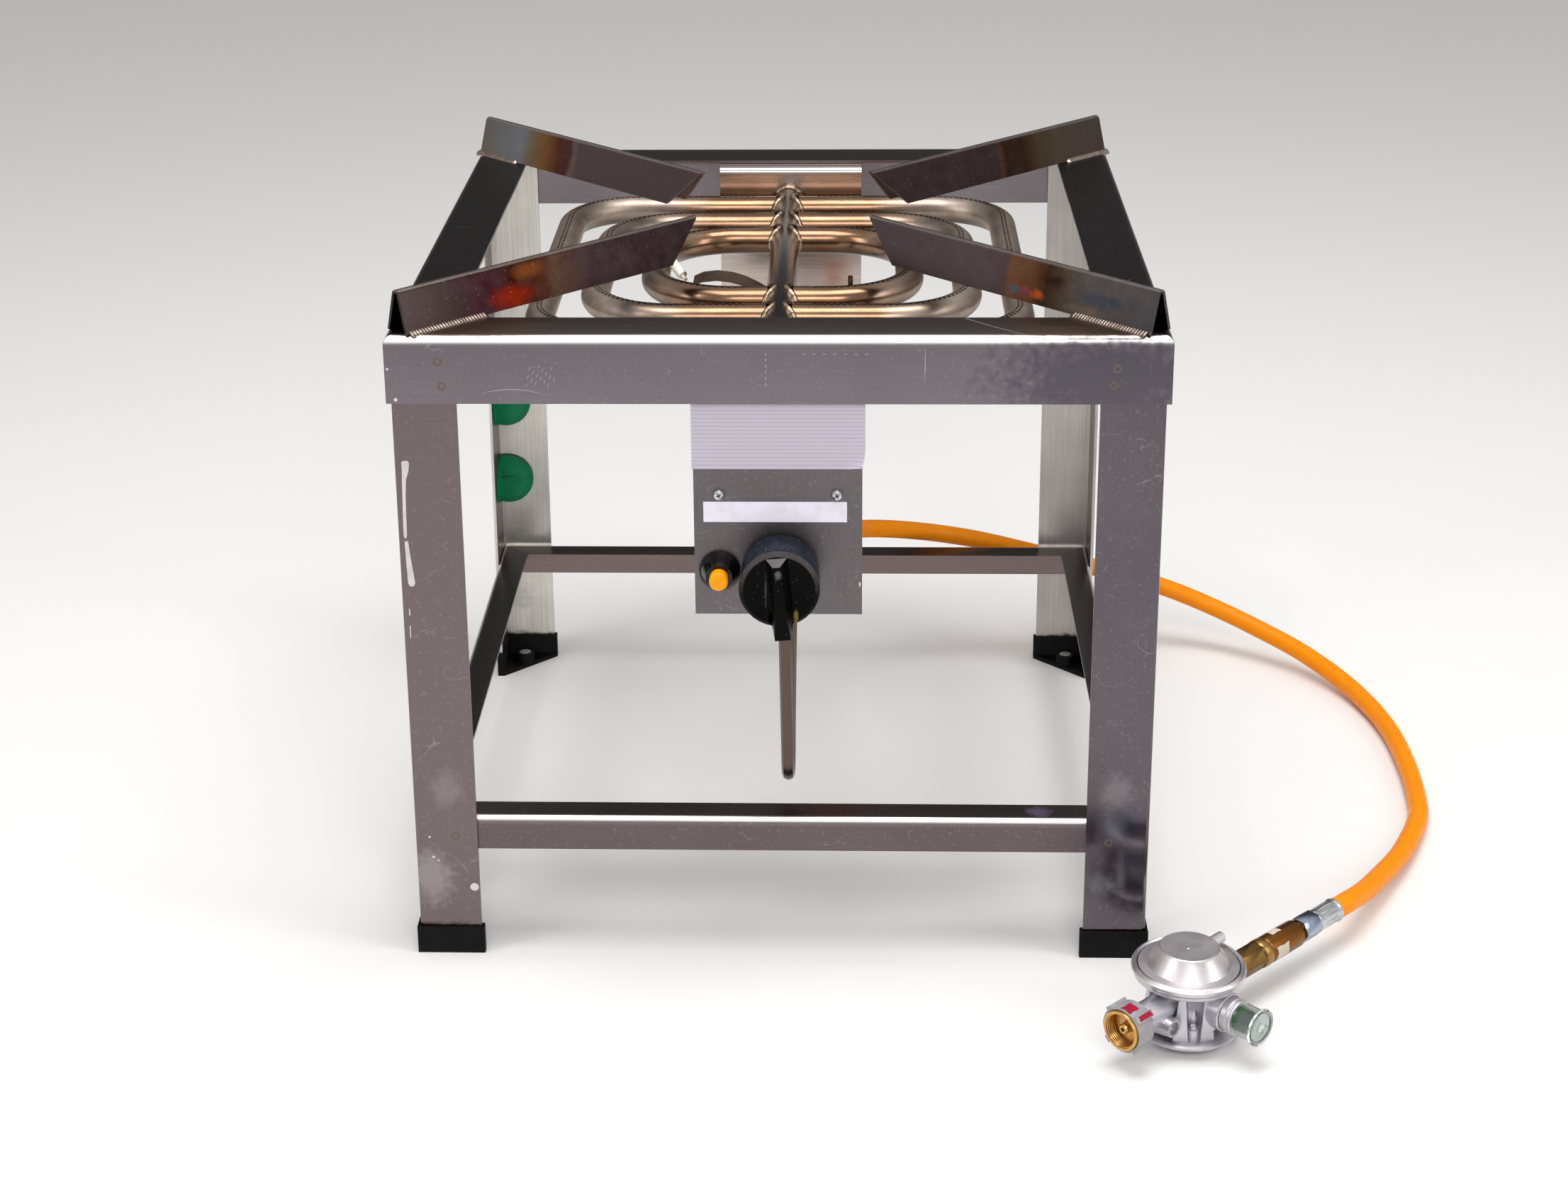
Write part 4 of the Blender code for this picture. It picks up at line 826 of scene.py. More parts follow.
def circle(middle: Vector, side: Vector, over: Vector, count: int) -> list[Vector]:
    """Points of a circle or an ellipse.

    Args:
        middle: Its centre.
        side: Half axis towards the first point.
        over: The other half axis.
        count: Number of points.

    Returns:
        The points.
    """
    turns = [math.tau * k / count for k in range(count)]
    return [middle + side * math.cos(a) + over * math.sin(a) for a in turns]


def quads(rows: int, row: int, closed: bool = False, ring: bool = False) -> list[tuple[int, ...]]:
    """Faces between neighbouring rows of points.

    Args:
        rows: Number of rows.
        row: Number of points in a row.
        closed: Whether each row runs back into its first point.
        ring: Whether the last row joins the first.

    Returns:
        Four corners for each face.
    """
    faces = []
    for i in range(rows if ring else rows - 1):
        a, b = i * row, (i + 1) % rows * row
        for k in range(row if closed else row - 1):
            after = (k + 1) % row
            faces.append((a + k, a + after, b + after, b + k))
    return faces


def resample(path: Sequence[Vector], step: float, closed: bool = False) -> list[Vector]:
    """Points at equal steps along a path.

    Args:
        path: Corner points.
        step: Rough distance between points.
        closed: Whether the path is a ring.

    Returns:
        The points; a ring doesn't repeat its first point.
    """
    corners = list(path) + ([path[0]] if closed else [])
    lengths = [0.0]
    for a, b in zip(corners, corners[1:]):
        lengths.append(lengths[-1] + (b - a).length)
    count = max(3, round(lengths[-1] / step))
    at = np.linspace(0, lengths[-1], count + 1)[: count if closed else None]
    axes = [np.interp(at, lengths, [corner[k] for corner in corners]) for k in range(3)]
    return [Vector(values) for values in zip(*axes)]


@dataclass
class MeshParts:
    """Vertices and faces gathered from several shapes."""

    vertices: list[Vector] = field(default_factory=list)
    faces: list[tuple[int, ...]] = field(default_factory=list)

    def add(self, vertices: Sequence[Vector], faces: Sequence[Sequence[int]]) -> None:
        """Adds a shape.

        Args:
            vertices: Its points.
            faces: Its faces, in numbers of its own points.
        """
        start = len(self.vertices)
        self.vertices.extend(vertices)
        self.faces.extend(tuple(start + i for i in face) for face in faces)

    def add_tube(
        self,
        path: Sequence[Vector],
        radii: Sequence[float],
        sides: int,
        closed: bool = False,
        squash: float = 1.0,
        up: Vector = UP,
    ) -> None:
        """Adds a tube along a path.

        Args:
            path: Centre line.
            radii: Radius at each point.
            sides: Corners of the section.
            closed: Whether the path is a ring.
            squash: Height of the section over its width.
            up: Direction of the section's height.
        """
        count = len(path)
        points: list[Vector] = []
        for i, point in enumerate(path):
            ahead = path[(i + 1) % count] if closed else path[min(i + 1, count - 1)]
            behind = path[i - 1] if closed or i else path[0]
            along = (ahead - behind).normalized()
            across = along.cross(up)
            across = across.normalized() if across.length > 1e-6 else RIGHT
            lift = across.cross(along)
            points += circle(point, across * radii[i], lift * radii[i] * squash, sides)
        faces = quads(count, sides, closed=True, ring=closed)
        if not closed:
            faces += [tuple(range(sides)), tuple(range((count - 1) * sides, count * sides))]
        self.add(points, faces)

    def add_bead(self, path: Sequence[Vector], radius: float, pitch: float, axis: Vector) -> None:
        """Adds a smooth weld fillet: a tube whose width pulses a little with each drop.

        Args:
            path: Line of the weld.
            radius: Half width of the bead.
            pitch: Distance between two drops.
            axis: Axis of the ring that the weld makes.
        """
        line = resample(path, pitch / 5, True)
        walked, radii = 0.0, []
        for i, point in enumerate(line):
            walked += (point - line[i - 1]).length if i else 0.0
            radii.append(radius * (0.92 + 0.08 * abs(math.sin(math.pi * walked / pitch))))
        self.add_tube(line, radii, 10, closed=True, up=axis)

    def add_dome(self, centre: Vector, axes: tuple[Vector, Vector, Vector], sides: int = 12) -> None:
        """Adds a low dome.

        Args:
            centre: Middle of its foot.
            axes: Half length, half width and height of the dome, as vectors.
            sides: Corners of its foot.
        """
        length, width, height = axes
        steps = (0.0, 0.35, 0.7)
        points = []
        for step in steps:
            lift, spread = math.sin(step * math.pi / 2), math.cos(step * math.pi / 2)
            points += circle(centre + height * lift, length * spread, width * spread, sides)
        last = len(points) - sides
        faces = [tuple(range(sides)), *quads(len(steps), sides, closed=True)]
        faces += [(last + k, last + (k + 1) % sides, len(points)) for k in range(sides)]
        self.add([*points, centre + height], faces)

    def add_scales(self, path: Sequence[Vector], radius: float, pitch: float, up: Vector) -> None:
        """Adds a weld bead of overlapping scales, one for each drop of metal.

        Args:
            path: Line of the weld.
            radius: Half width of the bead.
            pitch: Distance between two drops.
            up: Direction that the bead faces.
        """
        line = resample(path, pitch)
        for i, point in enumerate(line):
            along = (line[min(i + 1, len(line) - 1)] - line[max(i - 1, 0)]).normalized()
            across = up.cross(along).normalized()
            rise = up * radius * 0.40 + along * pitch * 0.5
            self.add_dome(point, (along * pitch * 0.95, across * radius, rise))

    def piece(
        self,
        name: str,
        finish: Finish,
        body: Body = Body.STAND,
        slot: str | None = None,
        smooth_below: float = 40.0,
    ) -> bpy.types.Object:
        """Makes one dressed piece of what was gathered.

        Args:
            name: Name of the piece.
            finish: Finish of the piece.
            body: Body that it rides on.
            slot: Material slot of the record; not used.
            smooth_below: Edges flatter than this, in degrees, are shaded smooth.

        Returns:
            The new object.
        """
        mesh = bpy.data.meshes.new(name)
        mesh.from_pydata([tuple(v) for v in self.vertices], [], self.faces)
        bm = bmesh.new()
        bm.from_mesh(mesh)
        bmesh.ops.remove_doubles(bm, verts=bm.verts, dist=1e-7)
        bmesh.ops.recalc_face_normals(bm, faces=bm.faces)
        bm.to_mesh(mesh)
        bm.free()
        mesh.shade_smooth()
        mesh.set_sharp_from_angle(angle=math.radians(smooth_below))
        made = new_object(name, mesh)
        mesh.materials.append(finish.material())
        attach(made, body.value)
        return made


def angle_shading() -> Tree:
    """Geometry nodes that shade a mesh smooth apart from its sharp edges.

    Returns:
        The node group, made on first use.
    """
    group = bpy.data.node_groups.get("smooth_by_angle")
    if group:
        return group
    group = bpy.data.node_groups.new("smooth_by_angle", "GeometryNodeTree")
    for side in ("INPUT", "OUTPUT"):
        group.interface.new_socket("Geometry", in_out=side, socket_type="NodeSocketGeometry")
    mesh = {"Geometry": add_node(group, "NodeGroupInput")[0], "Name": "custom_normal"}
    mesh = add_node(group, "GeometryNodeRemoveAttribute", mesh)[0]
    flat = {"A": add_node(group, "GeometryNodeInputMeshEdgeAngle")[0], "B": SHARP}
    flat = add_node(group, "FunctionNodeCompare", flat, operation="LESS_THAN")[0]
    for domain, smooth in (("FACE", True), ("EDGE", flat)):
        inputs = {"Geometry": mesh, "Shade Smooth": smooth}
        mesh = add_node(group, "GeometryNodeSetShadeSmooth", inputs, domain=domain)[0]
    add_node(group, "NodeGroupOutput", {0: mesh})
    return group


def dress(node: str, finish: Finish, edge_mm: float = 0.0) -> None:
    """Gives a node of the construction model its finish, smooth shading and worn edges.

    Args:
        node: Name of the node.
        finish: Its finish.
        edge_mm: Width of the softened edges, 0 for none.
    """
    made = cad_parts[node]
    made.data.materials.clear()
    made.data.materials.append(finish.material())
    made.modifiers.new("weld", "WELD").merge_threshold = 1e-6
    if edge_mm:
        soften = made.modifiers.new("soften", "BEVEL")
        soften.width = edge_mm * MM
        soften.segments = 2
        soften.limit_method = "ANGLE"
        soften.angle_limit = SHARP
        soften.use_clamp_overlap = True
    made.modifiers.new("shade", "NODES").node_group = angle_shading()


# --- camera, light and floor -------------------------------------------------------------
@dataclass
class Studio:
    """Camera at the photograph's angle, soft light and a pale floor.

    Attributes:
        image: Width and height of the photograph in pixels.
        place: Camera position.
        yaw: Turn of the view about the vertical, in radians.
        pitch: Angle below the horizon, in radians.
        roll: Tilt of the picture, in radians.
        focal_px: Focal length in pixels of the photograph.
        middle_px: Pixel where the line of sight meets the picture.
        sensor_mm: Width of the camera's sensor.
        lamps: Name, position, target, size and power in watts of each soft lamp.
        fill: Strength of the fill light.
        backdrop: Strength of what the camera sees.
        dark: Strength of the dark room that reflections see behind the object.
        floor: Half the width of the floor.
    """

    image: tuple[int, int] = (2212, 1661)
    place: Point = (0.0402, CENTRE_Y - 1.7039, 0.8703)
    yaw: float = -0.0381
    pitch: float = 0.3398
    roll: float = -0.0113
    focal_px: float = 3858.2
    middle_px: Pair = (1056.6, 599.2)
    sensor_mm: float = 36.0
    lamps: tuple[tuple[str, Point, Point, Pair, float], ...] = (
        ("softbox_top", (0.1, -0.25, 2.1), (0.0, 0.0, 0.3), (1.5, 0.9), 30.0),
        ("panel_left", (-2.0, -1.3, 1.5), (0.0, 0.0, 0.2), (0.8, 1.4), 16.0),
        ("panel_right", (2.1, -0.9, 1.3), (0.0, 0.0, 0.2), (0.7, 1.3), 12.0),
        ("panel_front", (0.3, -2.3, 1.9), (0.2, -0.3, 0.0), (1.2, 0.8), 20.0),
    )
    fill: float = 0.52
    backdrop: float = 0.84
    dark: float = 0.09
    floor: float = 9.0

    def build_camera(self) -> None:
        """Sets the camera of the scene."""
        flat = Vector((math.sin(self.yaw), math.cos(self.yaw), 0)) * math.cos(self.pitch)
        ahead = flat - UP * math.sin(self.pitch)
        level = Vector((math.cos(self.yaw), -math.sin(self.yaw), 0))
        up = level.cross(ahead)
        right = level * math.cos(self.roll) + up * math.sin(self.roll)
        top = up * math.cos(self.roll) - level * math.sin(self.roll)
        width, height = self.image
        data = bpy.data.cameras.new("camera")
        data.sensor_width = self.sensor_mm
        data.lens = self.focal_px / width * self.sensor_mm
        data.shift_x = (width / 2 - self.middle_px[0]) / width
        data.shift_y = (self.middle_px[1] - height / 2) / width
        camera = new_object("camera", data)
        turn = Matrix((right, top, -ahead)).transposed().to_4x4()
        camera.matrix_world = Matrix.Translation(self.place) @ turn
        bpy.context.scene.camera = camera

    def build_lamps(self) -> None:
        """Overhead softbox, two side panels and a small one in front."""
        for name, place, target, size, power in self.lamps:
            data = bpy.data.lights.new(name, "AREA")
            data.shape = "RECTANGLE"
            data.size, data.size_y = size
            data.energy = power
            lamp = new_object(name, data)
            lamp.location = place
            lamp.rotation_euler = (Vector(target) - Vector(place)).to_track_quat("-Z", "Y").to_euler()

    def build_world(self) -> None:
        """Even fill light and a pale backdrop; reflections see a dark room behind the object."""
        world = bpy.data.worlds.new("studio")
        world.use_nodes = True
        tree = world.node_tree
        ground = tree.nodes["Background"]
        path = add_node(tree, "ShaderNodeLightPath")
        heading = add_node(tree, "ShaderNodeTexCoord")["Generated"]
        parts = add_node(tree, "ShaderNodeSeparateXYZ", {0: heading})
        shares = {}
        for axis, start, end in ((1, 0.15, 0.55), (2, 0.75, 0.40)):
            spread = {"Value": parts[axis], "From Min": start, "From Max": end}
            shares[axis - 1] = add_node(tree, "ShaderNodeMapRange", spread)[0]
        rear = add_node(tree, "ShaderNodeMath", shares, operation="MULTIPLY")[0]
        spread = {"Value": rear, "To Min": self.backdrop, "To Max": self.dark}
        mirrored = add_node(tree, "ShaderNodeMapRange", spread)[0]
        lit = {0: path["Is Glossy Ray"], 2: self.fill, 3: mirrored}
        lit = add_node(tree, "ShaderNodeMix", lit, data_type="FLOAT")[0]
        straight = {0: path["Is Camera Ray"], 1: path["Is Transmission Ray"]}
        straight = add_node(tree, "ShaderNodeMath", straight, operation="MAXIMUM")[0]
        seen = {0: straight, 2: lit, 3: self.backdrop}
        seen = add_node(tree, "ShaderNodeMix", seen, data_type="FLOAT")[0]
        tree.links.new(seen, ground.inputs["Strength"])
        ground.inputs["Color"].default_value = linear("#f4f3f2")
        bpy.context.scene.world = world

    def build_floor(self) -> None:
        """Wide pale floor."""
        size = self.floor
        mesh = bpy.data.meshes.new("floor")
        corners = [(-size, -size, 0), (size, -size, 0), (size, size, 0), (-size, size, 0)]
        mesh.from_pydata(corners, [], [(0, 1, 2, 3)])
        floor = new_object("floor", mesh)
        paint = bpy.data.materials.new("matt_floor")
        paint.use_nodes = True
        shader = paint.node_tree.nodes["Principled BSDF"]
        shader.inputs["Base Color"].default_value = linear("#e9e8e6")
        shader.inputs["Roughness"].default_value = 0.9
        mesh.materials.append(paint)

    def build(self) -> None:
        """Builds the whole studio."""
        bpy.context.scene.view_settings.view_transform = "Standard"
        self.build_camera()
        self.build_lamps()
        self.build_world()
        self.build_floor()


# --- hose --------------------------------------------------------------------------------
@dataclass
class GasHose:
    """Orange rubber hose from the valve behind the panel to the regulator.

    Attributes:
        radius: Radius of the hose.
        lead: Straight piece at each end.
        regulator: Middle of the regulator along X and Y, in the frame of the stand.
        regulator_turn: Heading of its outlet, in radians.
        outlet_z: Height of the outlet's axis.
        ferrule_end: Distance of the hose's end from the regulator's middle.
        start: Centre of the hose's end at the valve, in the frame of the stand.
        route: Centre line, in the frame of the stand.
        on_it: Nodes that the hose carries; not used.
    """

    radius: float = 0.00665
    lead: float = 0.0120
    regulator: Pair = (0.2382, -0.3077)
    regulator_turn: float = math.radians(45.0)
    outlet_z: float = 0.0243
    ferrule_end: float = 0.1443
    start: Point = (0.0300, -0.1470, 0.2574)
    route: tuple[Point, ...] = (
        (0.0300, -0.0900, 0.2530), (0.0290, -0.0100, 0.2210), (0.0270, 0.0700, 0.1700),
        (0.0320, 0.1400, 0.1330), (0.0515, 0.1880, 0.1190), (0.0900, 0.2200, 0.1050),
        (0.1350, 0.2380, 0.0915), (0.1824, 0.2450, 0.0775), (0.2330, 0.2470, 0.0635),
        (0.2822, 0.2440, 0.0497), (0.3184, 0.2380, 0.0365), (0.3522, 0.2200, 0.0258),
        (0.3845, 0.1921, 0.0168), (0.4122, 0.1470, 0.0094), (0.4272, 0.0880, 0.0070),
        (0.4297, 0.0209, 0.0070), (0.4250, -0.0387, 0.0070), (0.4172, -0.0665, 0.0078),
        (0.4007, -0.1062, 0.0102), (0.3844, -0.1370, 0.0135), (0.3640, -0.1735, 0.0190),
    )  # fmt: skip
    on_it: tuple[str, ...] = (
        "hose_end_valve", "hose_ferrule", "swivel_nut", "safety_adapter", "regulator_body",
        "regulator_cover", "inlet_nipple", "cylinder_nut", "hand_wheel", "sight_cap",
        "pressure_indicator",
    )  # fmt: skip

    def points(self) -> list[Vector]:
        """Points of the centre line.

        Returns:
            The points in the world, straight at both ends.
        """
        lift = Vector((0, CENTRE_Y, 0))
        first = Vector(self.start) + lift
        middle = [Vector(point) + lift for point in self.route]
        outlet = Vector((*self.regulator, self.outlet_z)) + lift
        heading = Vector((math.cos(self.regulator_turn), math.sin(self.regulator_turn), 0))
        last = outlet + heading * self.ferrule_end
        return [first, first - FRONT * self.lead, *middle, last + heading * self.lead, last]

    def build(self) -> None:
        points = self.points()
        curve = bpy.data.curves.new("gas_hose", "CURVE")
        curve.dimensions = "3D"
        curve.bevel_depth = self.radius
        curve.bevel_resolution = 8
        curve.resolution_u = 10
        curve.use_fill_caps = True
        spline = curve.splines.new("BEZIER")
        spline.bezier_points.add(len(points) - 1)
        for i, (knot, point) in enumerate(zip(spline.bezier_points, points)):
            before, after = points[max(i - 1, 0)], points[min(i + 1, len(points) - 1)]
            along = (after - before).normalized()
            sixth = (after - before).length / 6
            knot.co = point
            knot.handle_left_type = knot.handle_right_type = "FREE"
            knot.handle_left = point - along * min(sixth, (point - before).length / 3)
            knot.handle_right = point + along * min(sixth, (after - point).length / 3)
        hose = new_object("gas_hose", curve)
        curve.materials.append(HOSE_PLASTIC.material())
        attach(hose, Body.STAND.value)
        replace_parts(hose, "hose")


# --- frame -------------------------------------------------------------------------------
def stand_point(x_mm: float, y_mm: float, z_mm: float) -> Vector:
    """Gives the place of a point that is measured from the middle of the stand."""
    return Vector((x_mm * MM, CENTRE_Y + y_mm * MM, z_mm * MM))


@dataclass
class Framework:
    """Aprons, legs, rails, foot caps and rear plate of the stand, with their marks.

    Attributes:
        rail_top: Height of the lower rails.
        apron_face: Distance of the front apron's face from the middle, in millimetres.
        leg_face: Distance of a leg's outer face, in millimetres.
        leg_inside: Distance of a leg's inner face, in millimetres.
        leg_corner: Distance of the inner corner of a leg, in millimetres.
        boss: Distance of a foot cap's boss and its height, in millimetres.
        sheets: Shade, flange shade (a painted dark reflection) and grain of each apron and rail.
        runs: Runs of white paint on the left leg: left end, right end and height of each row.
    """

    rail_top: float = 0.0923
    apron_face: float = 225.0
    leg_face: float = 222.7
    leg_inside: float = 218.7
    leg_corner: float = 220.7
    boss: Pair = (206.0, 10.0)
    sheets: tuple[tuple[str, str, str, Point], ...] = (
        ("apron_front", "#7f777d", "#5b5251", ALONG_X_MM),
        ("apron_right", "#7b747a", "#322d2d", ALONG_Y_MM),
        ("apron_rear", "#8c8488", "#4a4242", ALONG_X_MM),
        ("apron_left", "#7b747a", "#2e2a2a", ALONG_Y_MM),
        ("lower_rail_front", "#64585b", "#4f4849", ALONG_X_MM),
        ("lower_rail_right", "#7b7174", "#3c3737", ALONG_Y_MM),
        ("lower_rail_rear", "#8f7f7b", "#4a4340", ALONG_X_MM),
        ("lower_rail_left", "#7b7174", "#3c3737", ALONG_Y_MM),
    )
    runs: tuple[tuple[Point, ...], ...] = (
        (
            (-217.6, -214.9, 323.6), (-218.5, -214.0, 322.4), (-218.4, -214.6, 317.5),
            (-218.7, -216.3, 312.0), (-218.9, -217.0, 302.2), (-219.3, -217.3, 290.0),
            (-219.5, -217.5, 277.3), (-219.0, -218.0, 275.3),
        ),
        (
            (-218.9, -217.4, 273.4), (-219.1, -217.0, 272.4), (-218.9, -216.0, 262.0),
            (-218.4, -214.2, 246.7), (-217.3, -215.3, 244.7),
        ),
        ((-218.8, -218.2, 230.3), (-218.9, -218.1, 226.2)),
        ((-219.0, -218.4, 219.4), (-219.0, -218.4, 211.6)),
    )  # fmt: skip

    def dress_sheets(self) -> None:
        """Gives aprons and rails grain along their length, painted bend highlights, dark flange reflections.
        """
        front = CENTRE_Y - HALF
        # Brown tint near both front corners of the front flange: painted reflection of the front pot bars.
        bar_reflection_tint = (0.060, 0.03, 0.003), "#6e5848", 0.8, 0.4
        marks = {
            "apron_front": (
                Stain((0.190, front, 0.375), (0.080, 0.02, 0.04), "#55505c", 0.8),
                Stain((-0.175, front + 0.015, FRAME_TOP), *bar_reflection_tint),
                Stain((0.175, front + 0.015, FRAME_TOP), *bar_reflection_tint),
            ),
            "lower_rail_front": (
                Stain((0.157, CENTRE_Y - 0.210, self.rail_top), (0.009, 0.008, 0.003), "#9a8fae", 0.8),
            ),
        }
        # Bends get painted light: painted shade on the side aprons, a nearly white highlight elsewhere.
        for node, shade, flange, grain_mm in self.sheets:
            finish = RolledStainless(
                f"rolled_stainless_{node}",
                shade,
                0.34,
                grain_mm=grain_mm,
                fold_z=FRAME_TOP if node.startswith("apron") else self.rail_top,
                fold_highlight="#4a4546" if node in ("apron_left", "apron_right") else "#fdf8f6",
                flange=flange,
                stains=marks.get(node, ()),
            )
            dress(node, finish)

    def dress_legs(self) -> None:
        """Gives legs and foot caps their finish."""
        front = CENTRE_Y - self.leg_face * MM
        # Painted reflections low on the front right leg: two dark blue-grey patches and a light one.
        patches = (
            Stain((0.205, front, 0.090), (0.016, 0.01, 0.016), "#4b5260", 0.6),
            Stain((0.215, front, 0.060), (0.010, 0.01, 0.020), "#565c68", 0.5),
            Stain((0.196, front, 0.050), (0.010, 0.01, 0.010), "#8a8d95", 0.5),
        )
        # The rear legs' inner shade paints a highlight on their faces towards the front.
        legs = (
            ("front_left", "#756869", -1, -1, "", 0.0, ()),
            ("front_right", "#5f585f", 1, -1, "", 0.12, patches),
            ("rear_right", "#8a8286", 1, 1, "#d8d2cc", 0.0, ()),
            ("rear_left", "#8a8286", -1, 1, "#f2efe6", 0.0, ()),
        )
        for corner, shade, sx, sy, inner, wet_z, stains in legs:
            look = dict(grain_mm=ALONG_Z_MM, inner=inner, wet_z=wet_z, stains=foot_crust(sx, sy) + stains)
            dress(f"leg_{corner}", RolledStainless(f"rolled_stainless_leg_{corner}", shade, 0.34, **look))
            dress(f"foot_cap_{corner}", FOOT_PLASTIC, 0.5)

    def add_drip(
        self, parts: MeshParts, rows: Sequence[Point], y_mm: float, thick: float = 0.10
    ) -> None:
        """Adds a run of paint, or another flat mark, on a face towards the front.

        Args:
            parts: Mesh that takes the mark.
            rows: Left end, right end and height of each row, in millimetres.
            y_mm: Place of the face.
            thick: Thickness of the mark over its width.
        """
        at = np.linspace(0, len(rows) - 1, 4 * (len(rows) - 1) + 1)
        left, right, level = (np.interp(at, range(len(rows)), [r[k] for r in rows]) for k in range(3))
        path = [stand_point((a + b) / 2, y_mm, z) for a, b, z in zip(left, right, level)]
        radii = [max(b - a, 0.2) / 2 * MM for a, b in zip(left, right)]
        parts.add_tube(path, radii, 10, squash=thick, up=FRONT)

    def add_line(self, parts: MeshParts, points: Sequence[Pair], wide: float) -> None:
        """Adds a fine scratch on the front apron.

        Args:
            parts: Mesh that takes the scratch.
            points: Its points along X and Z, in millimetres.
            wide: Its width in millimetres.
        """
        path = [stand_point(x, -self.apron_face, z) for x, z in points]
        radii = [0.3 * wide / 2 * MM] + [wide / 2 * MM] * (len(path) - 2) + [0.3 * wide / 2 * MM]
        parts.add_tube(path, radii, 6, squash=0.15, up=FRONT)

    def build_spot_welds(self) -> None:
        """Adds the burnt rings of the spot welds."""
        front, leg = -self.apron_face, -self.leg_face
        spots = [(-194.1, front, 384.9), (-192.3, front, 370.2), (193.3, front, 380.9)]
        spots += [(191.9, front, 370.8), (-198.0, leg, 79.8), (198.6, leg, 78.1)]
        rings = MeshParts()
        for spot in (*spots, (-198.6, self.leg_inside, 79.5)):
            path = circle(stand_point(*spot), RIGHT * 2.0 * MM, UP * 2.0 * MM, 20)
            rings.add_tube(path, [0.55 * MM] * 20, 6, closed=True, squash=0.25, up=FRONT)
        rings.piece("spot_welds", SPOT_WELD, slot="frame_steel")

    def build_scratches(self) -> None:
        """Adds scratches on the front apron and on the flanges, and a painted reflection on the front flange.
        """
        lines = MeshParts()
        for z in np.linspace(370.5, 388.5, 6):
            self.add_line(lines, [(-6.4, z), (-6.4, z + 1.2), (-6.3, z + 2.2)], 0.55)
        for x in np.linspace(14.0, 50.0, 7):
            self.add_line(lines, [(x, 389.5), (x + 1.1, 389.6), (x + 2.4, 389.5)], 0.45)
        self.add_line(lines, [(84.3, 372.5), (84.4, 383.0), (84.3, 393.7)], 0.45)
        arc = [(-168.8, 366.3), (-161.0, 367.6), (-153.2, 368.5), (-142.7, 367.6), (-134.2, 365.5)]
        self.add_line(lines, arc, 0.4)
        for k in range(16):
            x, z = -144.0 + 1.05 * k, 369.5 + (k * 5 % 12)
            self.add_line(lines, [(x, z), (x + 0.5, z + 1.5), (x + 1.3, z + 2.6)], 0.35)
        top = FRAME_TOP / MM
        cut = [stand_point(191.5, -134.2, top), stand_point(210.9, -110.8, top)]
        lines.add_tube(resample(cut, 0.01), [0.0002] * 4, 6, squash=0.3)
        # A light line on the front flange: painted reflection of the front right pot bar.
        edge = [stand_point(x, y, top) for x, y in ((108.4, -189.7), (123.1, -204.8), (140.4, -220.5))]
        lines.add_tube(edge, [0.0004, 0.0004, 0.0003], 6, squash=0.3)
        lines.piece("scratches", SCRATCH_AND_REFLECTION, slot="frame_steel")

    def build_paint(self) -> None:
        """Adds runs and drops of white paint."""
        front, leg = -self.apron_face, -self.leg_face
        paint = MeshParts()
        for run in self.runs:
            self.add_drip(paint, run, leg)
        dots = [(-214.1, 79.1, 1.5, leg, 0.10), (-212.2, 65.5, 1.7, leg, 0.10)]
        dots += [(-209.3, 63.1, 1.3, leg, 0.10), (-219.3, 361.9, 2.2, front, 0.10)]
        dots += [(-223.2, 380.4, 1.6, front, 0.10), (-188.0, 44.9, 5.4, leg, 0.04)]
        for x, z, wide, y, thick in dots:
            reach = [(math.sin(t) * wide / 2, math.cos(t) * wide / 2) for t in np.linspace(0, math.pi, 6)]
            self.add_drip(paint, [(x - half, x + half, z + rise) for half, rise in reach], y, thick)
        paint.piece("paint_runs", DRIP_PAINT, slot="frame_steel")

    def sticker_point(self, centre: Pair, u: float, v: float, lift: float) -> Vector:
        """Gives a point of a sticker that is pressed into the corner of the rear left leg.

        Args:
            centre: Middle of the sticker along X and Z, in millimetres.
            u: Distance to the right, in millimetres.
            v: Distance upwards, in millimetres.
            lift: Height over the steel, in millimetres.

        Returns:
            The point; what lies left of the corner is on the side flange.
        """
        x, z = centre[0] + u, centre[1] + v
        over = -self.leg_corner - x
        if over <= 0:
            return stand_point(x, self.leg_inside - lift, z)
        stretch = 2.1  # the side flange is seen at a slant, so its share reaches further
        return stand_point(-self.leg_corner + lift, self.leg_inside - lift - stretch * over, z)

    def add_arcs(
        self, parts: MeshParts, centre: Pair, reaches: Sequence[float], turns: Sequence[float], lift: float
    ) -> None:
        """Adds part of a sticker: rows of points at several radii.

        Args:
            parts: Mesh that takes it.
            centre: Middle of the sticker along X and Z, in millimetres.
            reaches: Radius of each row, in millimetres.
            turns: Angle of each point of a row; many of them make a full turn.
            lift: Height over the steel, in millimetres.
        """
        spots = [(reach * math.cos(t), reach * math.sin(t)) for reach in reaches for t in turns]
        points = [self.sticker_point(centre, u, v, lift) for u, v in spots]
        parts.add(points, quads(len(reaches), len(turns), closed=len(turns) > 3))

    def build_stickers(self) -> None:
        """Adds the two plain round stickers inside the rear left leg, with painted crease shadows."""
        radius, inside, sides, teeth = 18.85, 15.2, 72, 46
        film, rim, shadow = MeshParts(), MeshParts(), MeshParts()
        around = [math.tau * k / sides for k in range(sides)]
        for z in (146.8, 208.2):
            centre = (-215.15, z)
            self.add_arcs(film, centre, np.linspace(0.0, inside, 14), around, 0.24)
            self.add_arcs(rim, centre, np.linspace(inside, radius, 4), around, 0.20)
            for k in range(teeth):
                start = math.tau * k / teeth
                turns = np.linspace(start, start + 0.62 * math.tau / teeth, 3)
                self.add_arcs(film, centre, (inside - 0.2, (inside + radius) / 2, radius), turns, 0.27)
